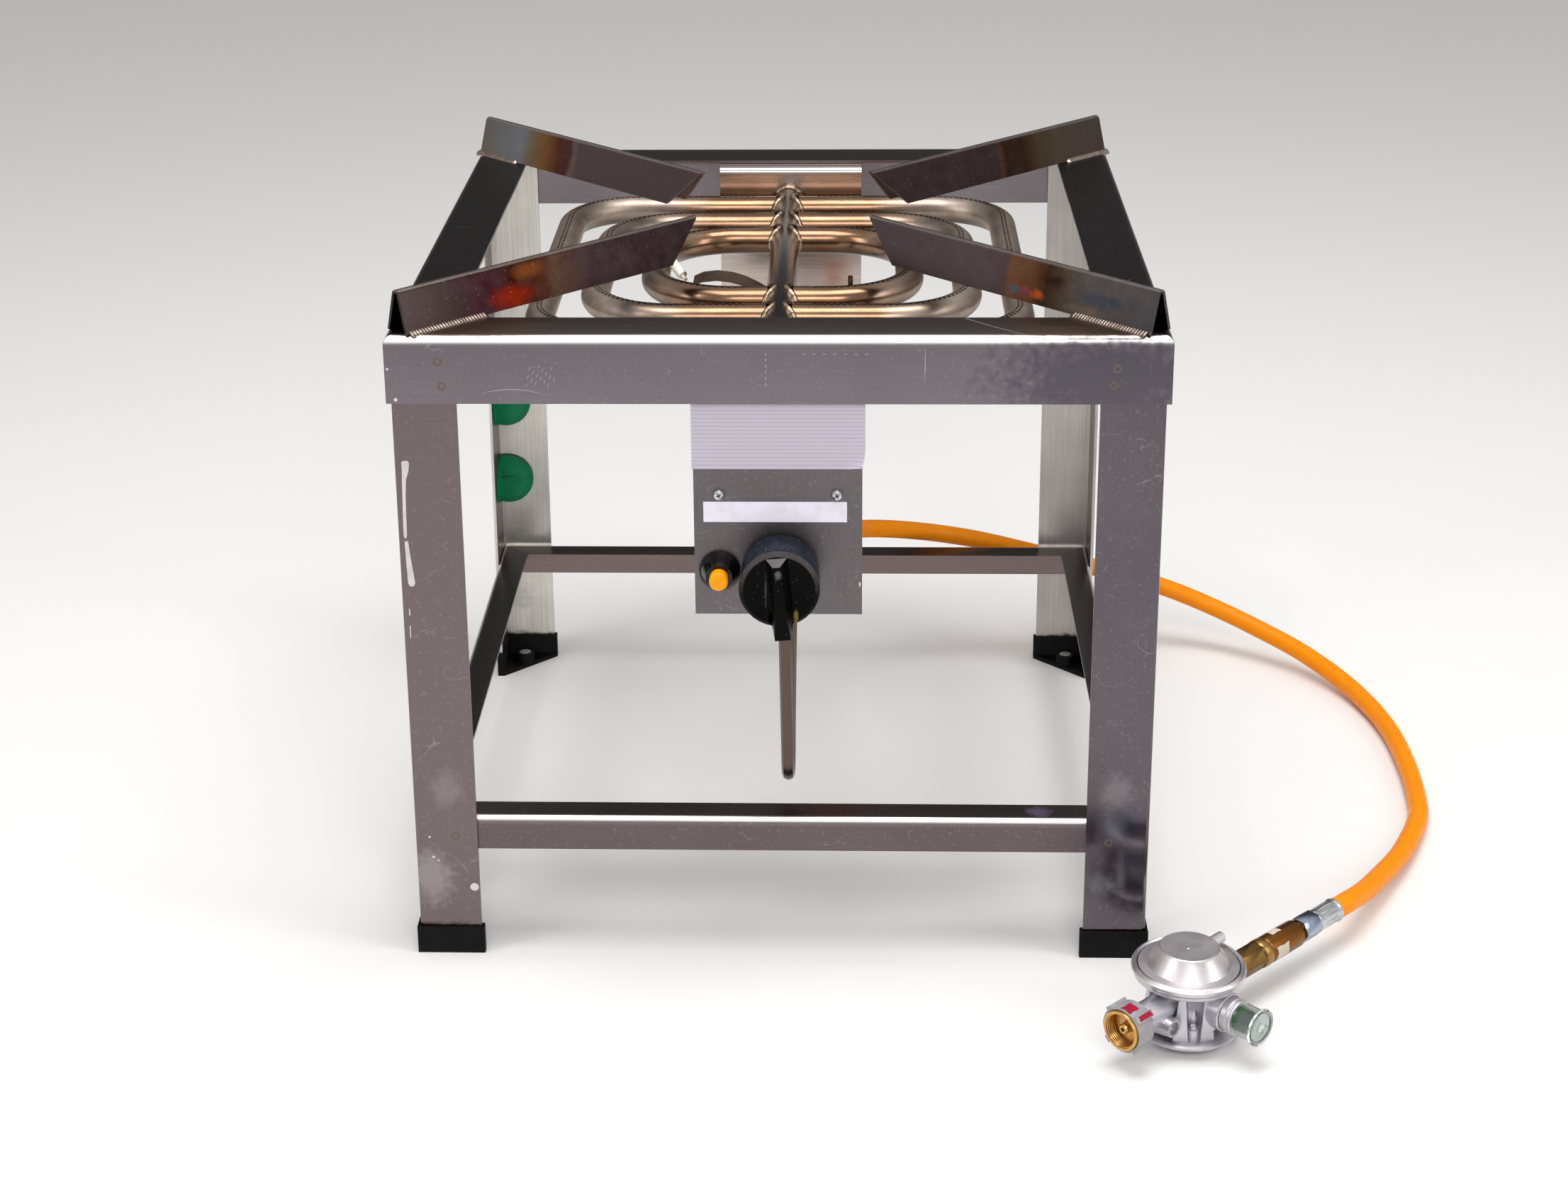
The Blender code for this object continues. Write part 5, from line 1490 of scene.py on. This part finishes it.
            # Painted shadow under a crease across each sticker.
            steps = np.linspace(0.0, 1.0, 20)
            edge = [(-13.0 + 24.0 * t, 2.5 * math.sin(2.4 * t)) for t in steps]
            widths = [1.6 * math.sin(math.pi * min(t + 0.12, 1.0)) for t in steps]
            edge += [(u, v - wide) for (u, v), wide in zip(edge, widths)]
            points = [self.sticker_point(centre, u, v, 0.30) for u, v in edge]
            shadow.add(points, quads(2, len(steps)))
        film.piece("sticker_films", STICKER_FILM, slot="green_plastic")
        rim.piece("sticker_rims", STICKER_RIM_AND_SHADOW, slot="green_plastic")
        shadow.piece("sticker_crease_shadows", STICKER_RIM_AND_SHADOW, slot="green_plastic")

    def build_bosses(self) -> None:
        """Adds the bright moulding spot on the boss of each foot cap."""
        spots = MeshParts()
        away, top = self.boss
        for sx, sy in ((-1, -1), (-1, 1), (1, -1), (1, 1)):
            centre = stand_point(sx * away, sy * away, top + 0.02)
            spots.add_dome(centre, (RIGHT * 0.0044, -FRONT * 0.0044, UP * 0.0005), 16)
        spots.piece("foot_cap_spots", MOULD_SPOT, slot="foot_plastic")

    def build(self) -> None:
        """Builds the framework."""
        self.dress_sheets()
        self.dress_legs()
        dress("rear_plate", BRIGHT_STEEL)
        dress("burner_bracket", PANEL_STEEL)
        self.build_spot_welds()
        self.build_scratches()
        self.build_paint()
        self.build_stickers()
        self.build_bosses()


@dataclass
class PotSupports:
    """Four folded bars with oxide colours and weld beads along their feet.

    Attributes:
        half_width: Half the width of a bar at its foot.
        headings: Direction of each bar, in degrees.
        welds: Where the beads of the front and rear bars start and end, from the middle.
        bead: Half width of a bead and distance between two drops.
        low: Height of the stains low on a flank.
        bands: Distance from the middle in millimetres and oxide shade, for each bar.
        ridges: Shade of the painted ridge highlight where it isn't the usual one.
    """

    half_width: float = 0.0096
    headings: tuple[tuple[str, int], ...] = (
        ("rear_right", 45), ("rear_left", 135), ("front_left", 225), ("front_right", 315)
    )  # fmt: skip
    welds: dict[str, Pair] = field(
        default_factory=lambda: {"front": (0.2515, 0.3035), "rear": (0.2680, 0.3075)}
    )
    bead: Pair = (0.0034, 0.0021)
    low: float = 0.406
    bands: dict[str, tuple[tuple[float, str], ...]] = field(
        default_factory=lambda: {
            "front_left": (
                (78, "#2d2021"), (170, "#352627"), (196, "#463023"), (204, "#3a1c0e"),
                (226, "#2a0d06"), (238, "#2c0e14"), (258, "#2b161a"), (272, "#2c2120"),
                (307, "#372d2b"),
            ),
            "front_right": (
                (78, "#4f4344"), (170, "#544748"), (196, "#50403f"), (199, "#6a452f"),
                (215, "#5b3822"), (226, "#36200f"), (238, "#4b3c30"), (252, "#504a47"),
                (307, "#474345"),
            ),
            "rear_left": (
                (78, "#4f4143"), (202, "#544446"), (207, "#6a514c"), (212, "#47262a"),
                (222, "#4f2a18"), (234, "#744a25"), (250, "#6e5e44"), (264, "#72757b"),
                (285, "#6e6d6d"), (307, "#6b6057"),
            ),
            "rear_right": (
                (78, "#382a2b"), (196, "#362829"), (200, "#4a2f22"), (205, "#2b180d"),
                (222, "#2e1c0d"), (240, "#453723"), (258, "#4a4036"), (307, "#483d39"),
            ),
        }
    )  # fmt: skip
    ridges: dict[str, str] = field(
        default_factory=lambda: {"front_left": "#8c7f78", "rear_left": "#9a938f"}
    )

    def stains(self, corner: str) -> tuple[Stain, ...]:
        """Places the flames' soft marks on a front bar.

        Args:
            corner: Corner that the bar points to.

        Returns:
            The marks, none on a rear bar.
        """
        marks = {
            "front_left": (
                ((-0.160, -0.164, self.low), (0.021, 0.021, 0.009), "#6b1a05", 0.85, 0.4),
                ((-0.150, -0.154, 0.419), (0.015, 0.015, 0.006), "#6a3a18", 0.6, 0.3),
                ((-0.190, -0.190, 0.410), (0.014, 0.014, 0.008), "#2a2220", 0.6),
            ),
            "front_right": (
                ((0.1400, -0.1480, self.low), (0.0065, 0.0065, 0.004), "#3f5a66", 0.7),
                ((0.1460, -0.1540, self.low), (0.0060, 0.0060, 0.004), "#7c3a48", 0.7),
                ((0.1525, -0.1605, self.low), (0.0065, 0.0065, 0.004), "#b4531a", 0.8),
                ((0.1640, -0.1670, 0.415), (0.010, 0.010, 0.006), "#20130c", 0.7),
                ((0.1880, -0.1940, 0.412), (0.024, 0.024, 0.004), "#343d4b", 0.6),
                ((0.1800, -0.1860, 0.404), (0.020, 0.020, 0.003), "#6f5f4c", 0.5),
            ),
        }.get(corner, ())
        return tuple(Stain((x, CENTRE_Y + y, z), *look) for (x, y, z), *look in marks)

    def build(self) -> None:
        """Dresses the bars and adds their welds."""
        beads = MeshParts()
        centre = Vector((0, CENTRE_Y, FRAME_TOP + 0.0004))
        for corner, degrees in self.headings:
            turn = math.radians(degrees)
            heading = Vector((math.cos(turn), math.sin(turn), 0))
            side = Vector((-math.sin(turn), math.cos(turn), 0))
            finish = TemperedStainless(
                f"tempered_bar_{corner}",
                "#5b4a49",
                0.30,
                heading=tuple(heading),
                bands=self.bands[corner],
                ridge=self.ridges.get(corner, "#8b8381"),
                stains=self.stains(corner),
            )
            dress(f"pot_bar_{corner}", finish)
            for out in (-side, side):
                ends = self.welds[corner.split("_")[0]]
                foot = [centre + heading * reach + out * self.half_width for reach in ends]
                beads.add_scales(foot, *self.bead, (UP + out * 0.6).normalized())
        beads.piece("pot_bar_welds", WELD, slot="heated_steel")


# --- burner ------------------------------------------------------------------------------
@dataclass
class Burner:
    """Three ring burner of bent tube, with its ports and welds.

    Attributes:
        centre: Middle of the rings at tube height.
        tube: Radius of the tubes.
        feed: Radius of the feed tube.
        rings: Half width, half depth and bend radius of each ring's centre line.
        port_pitch: Distance between two ports of one row.
        port_size: Length and width of a port, drawn larger than a real 1.2 mm port so that
            it shows at the size of the picture.
        lean: Angle of a row of ports from the top, in degrees.
        drop: Distance between two drops of a weld.
    """

    centre: Vector = field(default_factory=lambda: Vector((-0.0015, CENTRE_Y, 0.3745)))
    tube: float = 0.0090
    feed: float = 0.0094
    rings: tuple[tuple[str, Point], ...] = (
        ("outer", (0.1470, 0.1505, 0.0470)),
        ("middle", (0.1170, 0.1072, 0.0520)),
        ("inner", (0.0815, 0.0700, 0.0520)),
    )
    port_pitch: float = 0.0040
    port_size: Pair = (0.0027, 0.0016)
    lean: float = 7.0
    drop: float = 0.0040

    def centre_line(self, size: Point, hand: int) -> list[Vector]:
        """Centre line of one half ring, from the rear feed joint to the front one.

        Args:
            size: Half width, half depth and bend radius of the ring.
            hand: 1 for the right half, -1 for the left.

        Returns:
            Its points.
        """
        half_width, half_depth, bend = size
        line = [(self.feed * 0.85, half_depth)]
        for start, sign in ((90, 1), (0, -1)):
            for degrees in np.linspace(start, start - 90, 19):
                turn = math.radians(degrees)
                x = half_width - bend + bend * math.cos(turn)
                line.append((x, sign * (half_depth - bend) + bend * math.sin(turn)))
        line.append((self.feed * 0.85, -half_depth))
        return [self.centre + Vector((hand * x, y, 0)) for x, y in line]

    def add_port(self, parts: MeshParts, point: Vector, along: Vector, lean: float) -> None:
        """Adds one burner port, a short slot of painted shade on top of the tube.

        Args:
            parts: Mesh that takes the port.
            point: Point on the centre line of the tube.
            along: Direction of the tube.
            lean: Angle from the top, in radians.
        """
        length, width = self.port_size
        height = self.tube + 0.06 * MM
        out = along.cross(UP)
        ring = []
        for degrees in range(0, 360, 45):
            turn = math.radians(degrees)
            angle = lean + width / 2 * math.sin(turn) / self.tube
            lift = UP * math.cos(angle) + out * math.sin(angle)
            ring.append(point + lift * height + along * (length / 2 * math.cos(turn)))
        parts.add(ring, [tuple(range(len(ring)))])

    def build_half(self, name: str, size: Point, hand: int) -> None:
        """Builds one half ring with its tube and its ports.

        Args:
            name: Ring and side.
            size: Half width, half depth and bend radius of the ring.
            hand: 1 for the right half, -1 for the left.
        """
        line = resample(self.centre_line(size, hand), 0.0030)
        tube, ports = MeshParts(), MeshParts()
        tube.add_tube(line, [self.tube] * len(line), 40)
        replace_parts(tube.piece(f"ring_tube_{name}", RING_TUBE, slot="burner_steel"), f"ring_{name}")
        spots = resample(self.centre_line(size, hand), self.port_pitch / 2)
        for i in range(7, len(spots) - 7):
            along = (spots[i + 1] - spots[i - 1]).normalized()
            self.add_port(ports, spots[i], along, math.radians(self.lean if i % 2 else -self.lean))
        ports.piece(f"ring_ports_{name}", PORT_SHADOW, slot="burner_steel")

    def add_saddle_weld(self, parts: MeshParts, y: float, hand: int) -> None:
        """Adds the fillet where a ring tube meets the feed tube.

        Args:
            parts: Mesh that takes the weld.
            y: Place of the joint from the middle of the rings.
            hand: 1 for the right side, -1 for the left.
        """
        line = []
        for degrees in range(0, 360, 10):
            turn = math.radians(degrees)
            up = self.tube * math.sin(turn)
            reach = math.sqrt(max(self.feed**2 - up**2, 0.0)) + 0.0004
            line.append(self.centre + Vector((hand * reach, y + self.tube * math.cos(turn), up)))
        parts.add_bead(line, 0.0020, self.drop, RIGHT)

    def build(self) -> None:
        """Builds rings, ports and welds."""
        welds = MeshParts()
        for ring, size in self.rings:
            for side, hand in (("left", -1), ("right", 1)):
                self.build_half(f"{ring}_{side}", size, hand)
                for y in (size[1], -size[1]):
                    self.add_saddle_weld(welds, y, hand)
        dress("burner_manifold", FEED_TUBE)
        dress("mixing_tube", MIXER_TUBE)
        rear = Vector((self.centre.x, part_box("rear_plate")[0].y - 0.0012, self.centre.z))
        reach = self.feed - 0.0008
        welds.add_bead(circle(rear, RIGHT * reach, UP * reach, 30), 0.0024, self.drop, -FRONT)
        welds.piece("burner_welds", TUBE_WELD, slot="burner_steel", smooth_below=60.0)


# --- controls ----------------------------------------------------------------------------
@dataclass
class ControlPanel:
    """Front panel with its labels, screws, knob and igniter.

    Attributes:
        rating: Left, right, lower and upper edge of the rating film.
        tape: The same of the label tape.
        film: Thickness of a label film.
        peel: How far the rating film's corner is lifted.
        knob_axis: Axis of the knob along X and Z.
        knob_face: Distance of the knob's flat face from the panel.
        recess: Half length and half width of a screw's cross recess.
    """

    rating: tuple[float, float, float, float] = (-0.0498, 0.0506, 0.3190, 0.3590)
    tape: tuple[float, float, float, float] = (-0.0434, 0.0401, 0.2862, 0.2988)
    film: float = 0.10 * MM
    peel: float = 0.004
    knob_axis: Pair = (0.0013, 0.2574)
    knob_face: float = 0.0345
    recess: Pair = (0.0013, 0.00035)

    def build_film(
        self, name: str, area: tuple[float, float, float, float], finish: Finish, peel: float
    ) -> None:
        """Builds a label film on the panel, its lower right corner lifted.

        Args:
            name: Name of the piece.
            area: Left, right, lower and upper edge.
            finish: Finish of the film.
            peel: How far the corner is lifted.
        """
        left, right, low, high = area
        across, up = 24, 12
        row, size = across + 1, (across + 1) * (up + 1)
        label = MeshParts()
        for layer in (0.0, -self.film):
            points = []
            for u, v in ((i / across, j / up) for j in range(up + 1) for i in range(row)):
                curl = max(0.0, (u - 0.86) / 0.14 + (0.3 - v) / 0.3 - 1.0)
                lift = peel * curl**2
                x = left + (right - left) * u - 0.5 * lift
                z = low + (high - low) * v + 0.5 * lift
                points.append(Vector((x, PANEL_FACE - SKIN + layer - lift, z)))
            label.add(points, quads(up + 1, row))
        rim = [*range(row), *(j * row + across for j in range(1, up + 1))]
        rim += [up * row + i for i in range(across - 1, -1, -1)]
        rim += [j * row for j in range(up - 1, 0, -1)]
        label.faces += [(a, b, b + size, a + size) for a, b in zip(rim, rim[1:] + rim[:1])]
        label.piece(name, finish)

    def knob_finish(self) -> PhenolicWithHighlights:
        """Finish of the knob.

        Returns:
            The finish, its marks and painted highlight placed from the knob's axis.
        """
        x, z = self.knob_axis
        face = PANEL_FACE - self.knob_face
        # A yellowish spot low on the right, a painted highlight streaking down the bar's left foot, and a
        # grey patch on the bar near the top.
        marks_and_highlights = (
            Stain((x + 0.0095, face, z - 0.0175), (0.0020, 0.006, 0.0050), "#8f7c42", 0.7),
            Stain((x - 0.0078, face, z - 0.0020), (0.0008, 0.003, 0.0130), "#4f4d56", 0.6),
            Stain((x - 0.0005, face - 0.008, z + 0.0130), (0.0022, 0.003, 0.0040), "#8f8b8c", 0.35),
        )
        look = dict(gloss=0.06, dust="#8d8587", axis=(x, 0.0, z), face_y=face, stains=marks_and_highlights)
        return PhenolicWithHighlights("moulded_phenolic_black", "#030303", 0.32, **look)

    def build_recess(self, node: str) -> None:
        """Adds the painted shade of one screw's cross recess.

        Args:
            node: Name of the screw.
        """
        low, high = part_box(node)
        long, short = self.recess
        base = Vector(((low.x + high.x) / 2, low.y - 0.05 * MM, (low.z + high.z) / 2))
        points = []
        for quarter in range(4):
            turn = math.radians(90 * quarter + 20)
            ahead = Vector((math.cos(turn), 0, math.sin(turn)))
            side = Vector((-math.sin(turn), 0, math.cos(turn)))
            for reach, across in ((short, -short), (long, -short), (long, short)):
                points.append(base + ahead * reach + side * across)
        # A thin dark cross of painted shade.
        count = len(points)
        cross = MeshParts()
        faces = [tuple(range(count)), tuple(range(count, 2 * count)), *quads(2, count, closed=True)]
        cross.add(points + [p - FRONT * 0.1 * MM for p in points], faces)
        cross.piece(f"{node}_recess", RECESS_SHADE)

    def build(self) -> None:
        """Dresses the panel and adds its labels."""
        dress("front_panel", PANEL_STEEL)
        self.build_film("rating_label", self.rating, RULED_FILM, self.peel)
        self.build_film("label_tape", self.tape, BLANK_FILM, 0.0)
        for screw in ("panel_screw_left", "panel_screw_right"):
            dress(screw, ZINC)
            self.build_recess(screw)
        dress("knob", self.knob_finish(), 0.4)
        dress("valve_spindle", ZINC)
        dress("piezo_igniter", BEZEL_PLASTIC)
        dress("piezo_button", BUTTON_PLASTIC, 0.4)
        dress("piezo_ring_nut", ZINC, 0.4)
        drop = MeshParts()
        drop.add_dome(Vector((0.0476, PANEL_FACE, 0.2470)), (RIGHT * 0.0006, UP * 0.0016, FRONT * 0.0005))
        drop.piece("panel_paint_drop", DRIP_PAINT)


@dataclass
class GasTrain:
    """Valve, pipe, nuts and jet behind the panel.

    Attributes:
        edge_mm: Softened edges of valve and jet.
        nut_edge_mm: Softened edges of the nuts.
    """

    edge_mm: float = 0.3
    nut_edge_mm: float = 0.4

    def build(self) -> None:
        """Dresses the pieces."""
        dress("gas_valve", OLD_BRASS, self.edge_mm)
        dress("injector", BRASS, self.edge_mm)
        dress("gas_pipe", PIPE)
        for nut in ("pipe_nut_valve", "pipe_nut_injector"):
            dress(nut, BRASS, self.nut_edge_mm)


@dataclass
class Ignition:
    """Electrode, its strap and the flame probe.

    Attributes:
        clip: Half sizes of the rusty place where the strap grips the electrode.
    """

    clip: Point = (0.0034, 0.02, 0.02)

    def build(self) -> None:
        """Dresses the pieces."""
        low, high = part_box("electrode")
        middle = (low + high) / 2
        rust = Stain((high.x, middle.y, middle.z), self.clip, "#5e3220", 0.95, 0.1)
        # Fired steatite: off-white, smooth and a little dusty.
        body = MouldedPlastic("fired_steatite", "#e6e2d6", 0.30, dust="#a99a86", stains=(rust,))
        dress("electrode", body)
        dress("electrode_strap", STRAP_STEEL)
        dress("flame_probe", PIPE)


# --- regulator ---------------------------------------------------------------------------
@dataclass
class Regulator:
    """Low-pressure regulator with its inlet union, sight cap and outlet adapter.

    Attributes:
        centre: Middle of the casting.
        inlet: Direction of the inlet arm.
        outlet: Direction of the outlet arm.
        sight: Direction of the sight cap.
        inlet_z: Height of the inlet axis.
        outlet_z: Height of the outlet axis.
        sight_z: Height of the sight axis.
        cover_top: Height of the cover.
        groove: Radius and height of the groove in the cover.
        wheel: Radius of the hand wheel and of its ridges.
        nut: Start, end and inner radius of the threaded nut.
        nipple_tip: Distance of the nipple's tip.
        adapter: Radius of the adapter's cylinder.
        ferrule: Start, end and waist radius of the crimped ferrule.
        steps: Distance, radius and thickness of each step of the sight collar.
    """

    centre: Vector = field(default_factory=lambda: Vector((0.2382, CENTRE_Y - 0.3077, 0.0)))
    inlet: Vector = field(default_factory=lambda: Vector((-1, -1, 0)).normalized())
    outlet: Vector = field(default_factory=lambda: Vector((1, 1, 0)).normalized())
    sight: Vector = field(default_factory=lambda: Vector((1, -1, 0)).normalized())
    inlet_z: float = 0.0270
    outlet_z: float = 0.0243
    sight_z: float = 0.0263
    cover_top: float = 0.0572
    groove: Pair = (0.0297, 0.0454)
    wheel: Pair = (0.0136, 0.0152)
    nut: Point = (0.0532, 0.0610, 0.0105)
    nipple_tip: float = 0.0585
    adapter: float = 0.0085
    ferrule: Point = (0.1250, 0.1414, 0.0067)
    steps: tuple[Point, ...] = (
        (0.0300, 0.0112, 0.0006), (0.0345, 0.0102, 0.0006), (0.0376, 0.0101, 0.0008)
    )  # fmt: skip

    def axis_point(self, heading: Vector, along: float, level: float) -> Vector:
        """Gives a point on one of the three axes."""
        return self.centre + heading * along + UP * level

    def build_wrap(
        self,
        name: str,
        axis: tuple[Vector, float],
        radius: float,
        span: Pair,
        turn: Pair,
        finish: Finish,
        body: Body = Body.STAND,
    ) -> None:
        """Builds a thin film wrapped round one of the axes, with ragged edges.

        Args:
            name: Name of the piece.
            axis: Direction of the axis and its height.
            radius: Radius of the film.
            span: Where it starts and ends along the axis.
            turn: Where it starts and ends round the axis, in degrees from the top towards
                the sight side.
            finish: Finish of the film.
            body: Body that it rides on.
        """
        across, around = 14, 12
        points = []
        for u, v in ((i / across, j / around) for i in range(across + 1) for j in range(around + 1)):
            edge = 0.03 * math.sin(7.0 * v + 2.0) + 0.01 * math.sin(23.0 * v)
            side = 0.03 * math.sin(8.0 * u) + 0.01 * math.sin(27.0 * u + 1.0)
            along = span[0] + (span[1] - span[0]) * (u + edge * (2 * u - 1))
            angle = math.radians(turn[0] + (turn[1] - turn[0]) * (v + side * (2 * v - 1)))
            out = UP * math.cos(angle) + self.sight * math.sin(angle)
            points.append(self.axis_point(axis[0], along, axis[1]) + out * radius)
        film = MeshParts()
        film.add(points, quads(across + 1, around + 1))
        film.piece(name, finish, body)

    def add_ring(
        self, parts: MeshParts, axis: tuple[Vector, float], along: float, radius: float, thick: float
    ) -> None:
        """Adds a thin ring round one of the axes.

        Args:
            parts: Mesh that takes the ring.
            axis: Direction of the axis and its height.
            along: Distance of the ring along it.
            radius: Radius of the ring.
            thick: Radius of its section.
        """
        heading, level = axis
        side = heading.cross(UP)
        side = side.normalized() if side.length > 0.5 else RIGHT
        middle = self.axis_point(heading, along, level)
        ring = circle(middle, side * radius, side.cross(heading) * radius, 48)
        parts.add_tube(ring, [thick] * len(ring), 8, closed=True, up=heading)

    def build_union(self) -> None:
        """Adds threads, the painted shade of the bore and crimson marks of the inlet union."""
        start, end, inner = self.nut
        threads, bore = MeshParts(), MeshParts()
        reach = inner - 0.0003
        for along in np.linspace(start + 0.0010, end - 0.0012, 5):
            middle = self.axis_point(self.inlet, along, self.inlet_z)
            ring = circle(middle, UP * reach, self.sight * reach, 28)
            threads.add_tube(ring, [0.0005] * len(ring), 6, closed=True, up=self.inlet)
        threads.piece("cylinder_nut_threads", BRASS, Body.UNION, "brass")
        # The nipple's bore as a dark disc of painted shade.
        tip = self.axis_point(self.inlet, self.nipple_tip + 0.05 * MM, self.inlet_z)
        disc = circle(tip, UP * 0.0013, self.sight * 0.0013, 28)
        bore.add(disc, [tuple(range(len(disc)))])
        bore.piece("nipple_bore_shade", RECESS_SHADE)
        low, high = (radius + 0.08 * MM for radius in self.wheel)
        films = (
            ("ridge", high, (0.0465, 0.0572), (38.5, 51.0)),
            ("top", low, (0.0510, 0.0590), (-6.0, 22.0)),
            ("foot", high, (0.0462, 0.0540), (129.0, 141.0)),
        )
        axis = self.inlet, self.inlet_z
        for name, radius, span, turn in films:
            self.build_wrap(f"hand_wheel_mark_{name}", axis, radius, span, turn, MARK_PAINT, Body.UNION)

    def build_casting_detail(self) -> None:
        """Adds the steps of the sight collar, the shadow line in the cover and its dimple."""
        collar, line = MeshParts(), MeshParts()
        for along, radius, thick in self.steps:
            self.add_ring(collar, (self.sight, self.sight_z), along, radius, thick)
        dimple = self.centre + Vector((-0.001, -0.002, self.cover_top))
        collar.add_dome(dimple, (RIGHT * 0.0012, -FRONT * 0.0012, UP * 0.0003))
        collar.piece("regulator_steps", CASTING, slot="regulator_casting")
        radius, level = self.groove
        self.add_ring(line, (UP, level), 0.0, radius, 0.0004)
        line.piece("regulator_groove_shade", RECESS_SHADE)

    def build_outlet(self) -> None:
        """Adds torn blank patches on the adapter and crimps on the ferrule."""
        patches = (("near", (0.0760, 0.0870), (62.0, 118.0)), ("far", (0.0800, 0.0880), (-45.0, 5.0)))
        axis, radius = (self.outlet, self.outlet_z), self.adapter + 0.10 * MM
        for name, span, turn in patches:
            self.build_wrap(f"adapter_patch_{name}", axis, radius, span, turn, TORN_PAPER)
        start, end, waist = self.ferrule
        crimps = MeshParts()
        for out in circle(Vector((0, 0, 0)), UP, self.sight, 12):
            way = np.linspace(start, end, 6)
            path = [self.axis_point(self.outlet, at, self.outlet_z) + out * (waist - 0.0002) for at in way]
            crimps.add_tube(path, [0.0002, 0.0007, 0.0008, 0.0008, 0.0007, 0.0002], 8, up=out)
        crimps.piece("ferrule_crimps", ZINC, slot="zinc_steel")

    def dress_nodes(self) -> None:
        """Gives the nodes of the regulator their finish."""
        x, y, _ = self.centre
        # Satin casting with a dark pebbled stripe and a smoother panel at its front.
        marks = (
            Stain((x - 0.0030, y - 0.0310, 0.022), (0.0045, 0.006, 0.017), "#77767b", 0.75, 0.3),
            Stain((x + 0.0075, y - 0.0300, 0.020), (0.0060, 0.006, 0.014), "#96959a", 0.60, 0.2),
        )
        look = dict(cloud="#aeabb2", **CAST_SKIN)
        dress("regulator_body", SmallMetal("die_cast_zinc_body", "#c6c4ca", 0.42, stains=marks, **look))
        dress("regulator_cover", CASTING)
        # Brass, tarnished brown past its collar.
        look = dict(cloud="#5c452e", cloud_mm=9.0, bands=((66.1, "#a5824e"), (72.4, "#87541f")))
        origin = self.axis_point(self.outlet, 0.0, self.outlet_z)
        look.update(heading=tuple(self.outlet), origin=tuple(origin))
        dress("safety_adapter", BandedMetal("tarnished_brass_adapter", "#7c5e33", 0.32, **look), 0.3)
        dress("swivel_nut", BLUE_ZINC, 0.3)
        dress("hose_ferrule", ZINC)
        dress("hose_end_valve", ZINC)
        dress("inlet_nipple", BRASS)
        dress("cylinder_nut", BRASS, 0.2)
        dress("hand_wheel", WHEEL_PLASTIC, 0.3)
        dress("sight_cap", CLEAR)
        # Moulded indicator: clean green, grey past its edge.
        look = dict(metallic=0.0, cloud="#2c6a34", heading=tuple(self.sight), origin=tuple(self.centre))
        indicator = BandedMetal("moulded_indicator", "#0c7a1c", 0.35, bands=((41.6, "#6c7175"),), **look)
        dress("pressure_indicator", indicator)

    def build(self) -> None:
        """Dresses the pieces and adds the fine detail of the union and the outlet."""
        self.dress_nodes()
        self.build_casting_detail()
        self.build_union()
        self.build_outlet()


def main() -> None:
    """Builds the studio and every sub-assembly, logging each as it is ready."""
    logging.basicConfig(level=logging.INFO, format="%(message)s")
    for kind in (
        Studio, GasHose, Framework, PotSupports, Burner, ControlPanel, GasTrain, Ignition, Regulator
    ):  # fmt: skip
        kind().build()
        LOG.info("%s ready", kind.__name__)


if __name__ == "__main__":
    main()
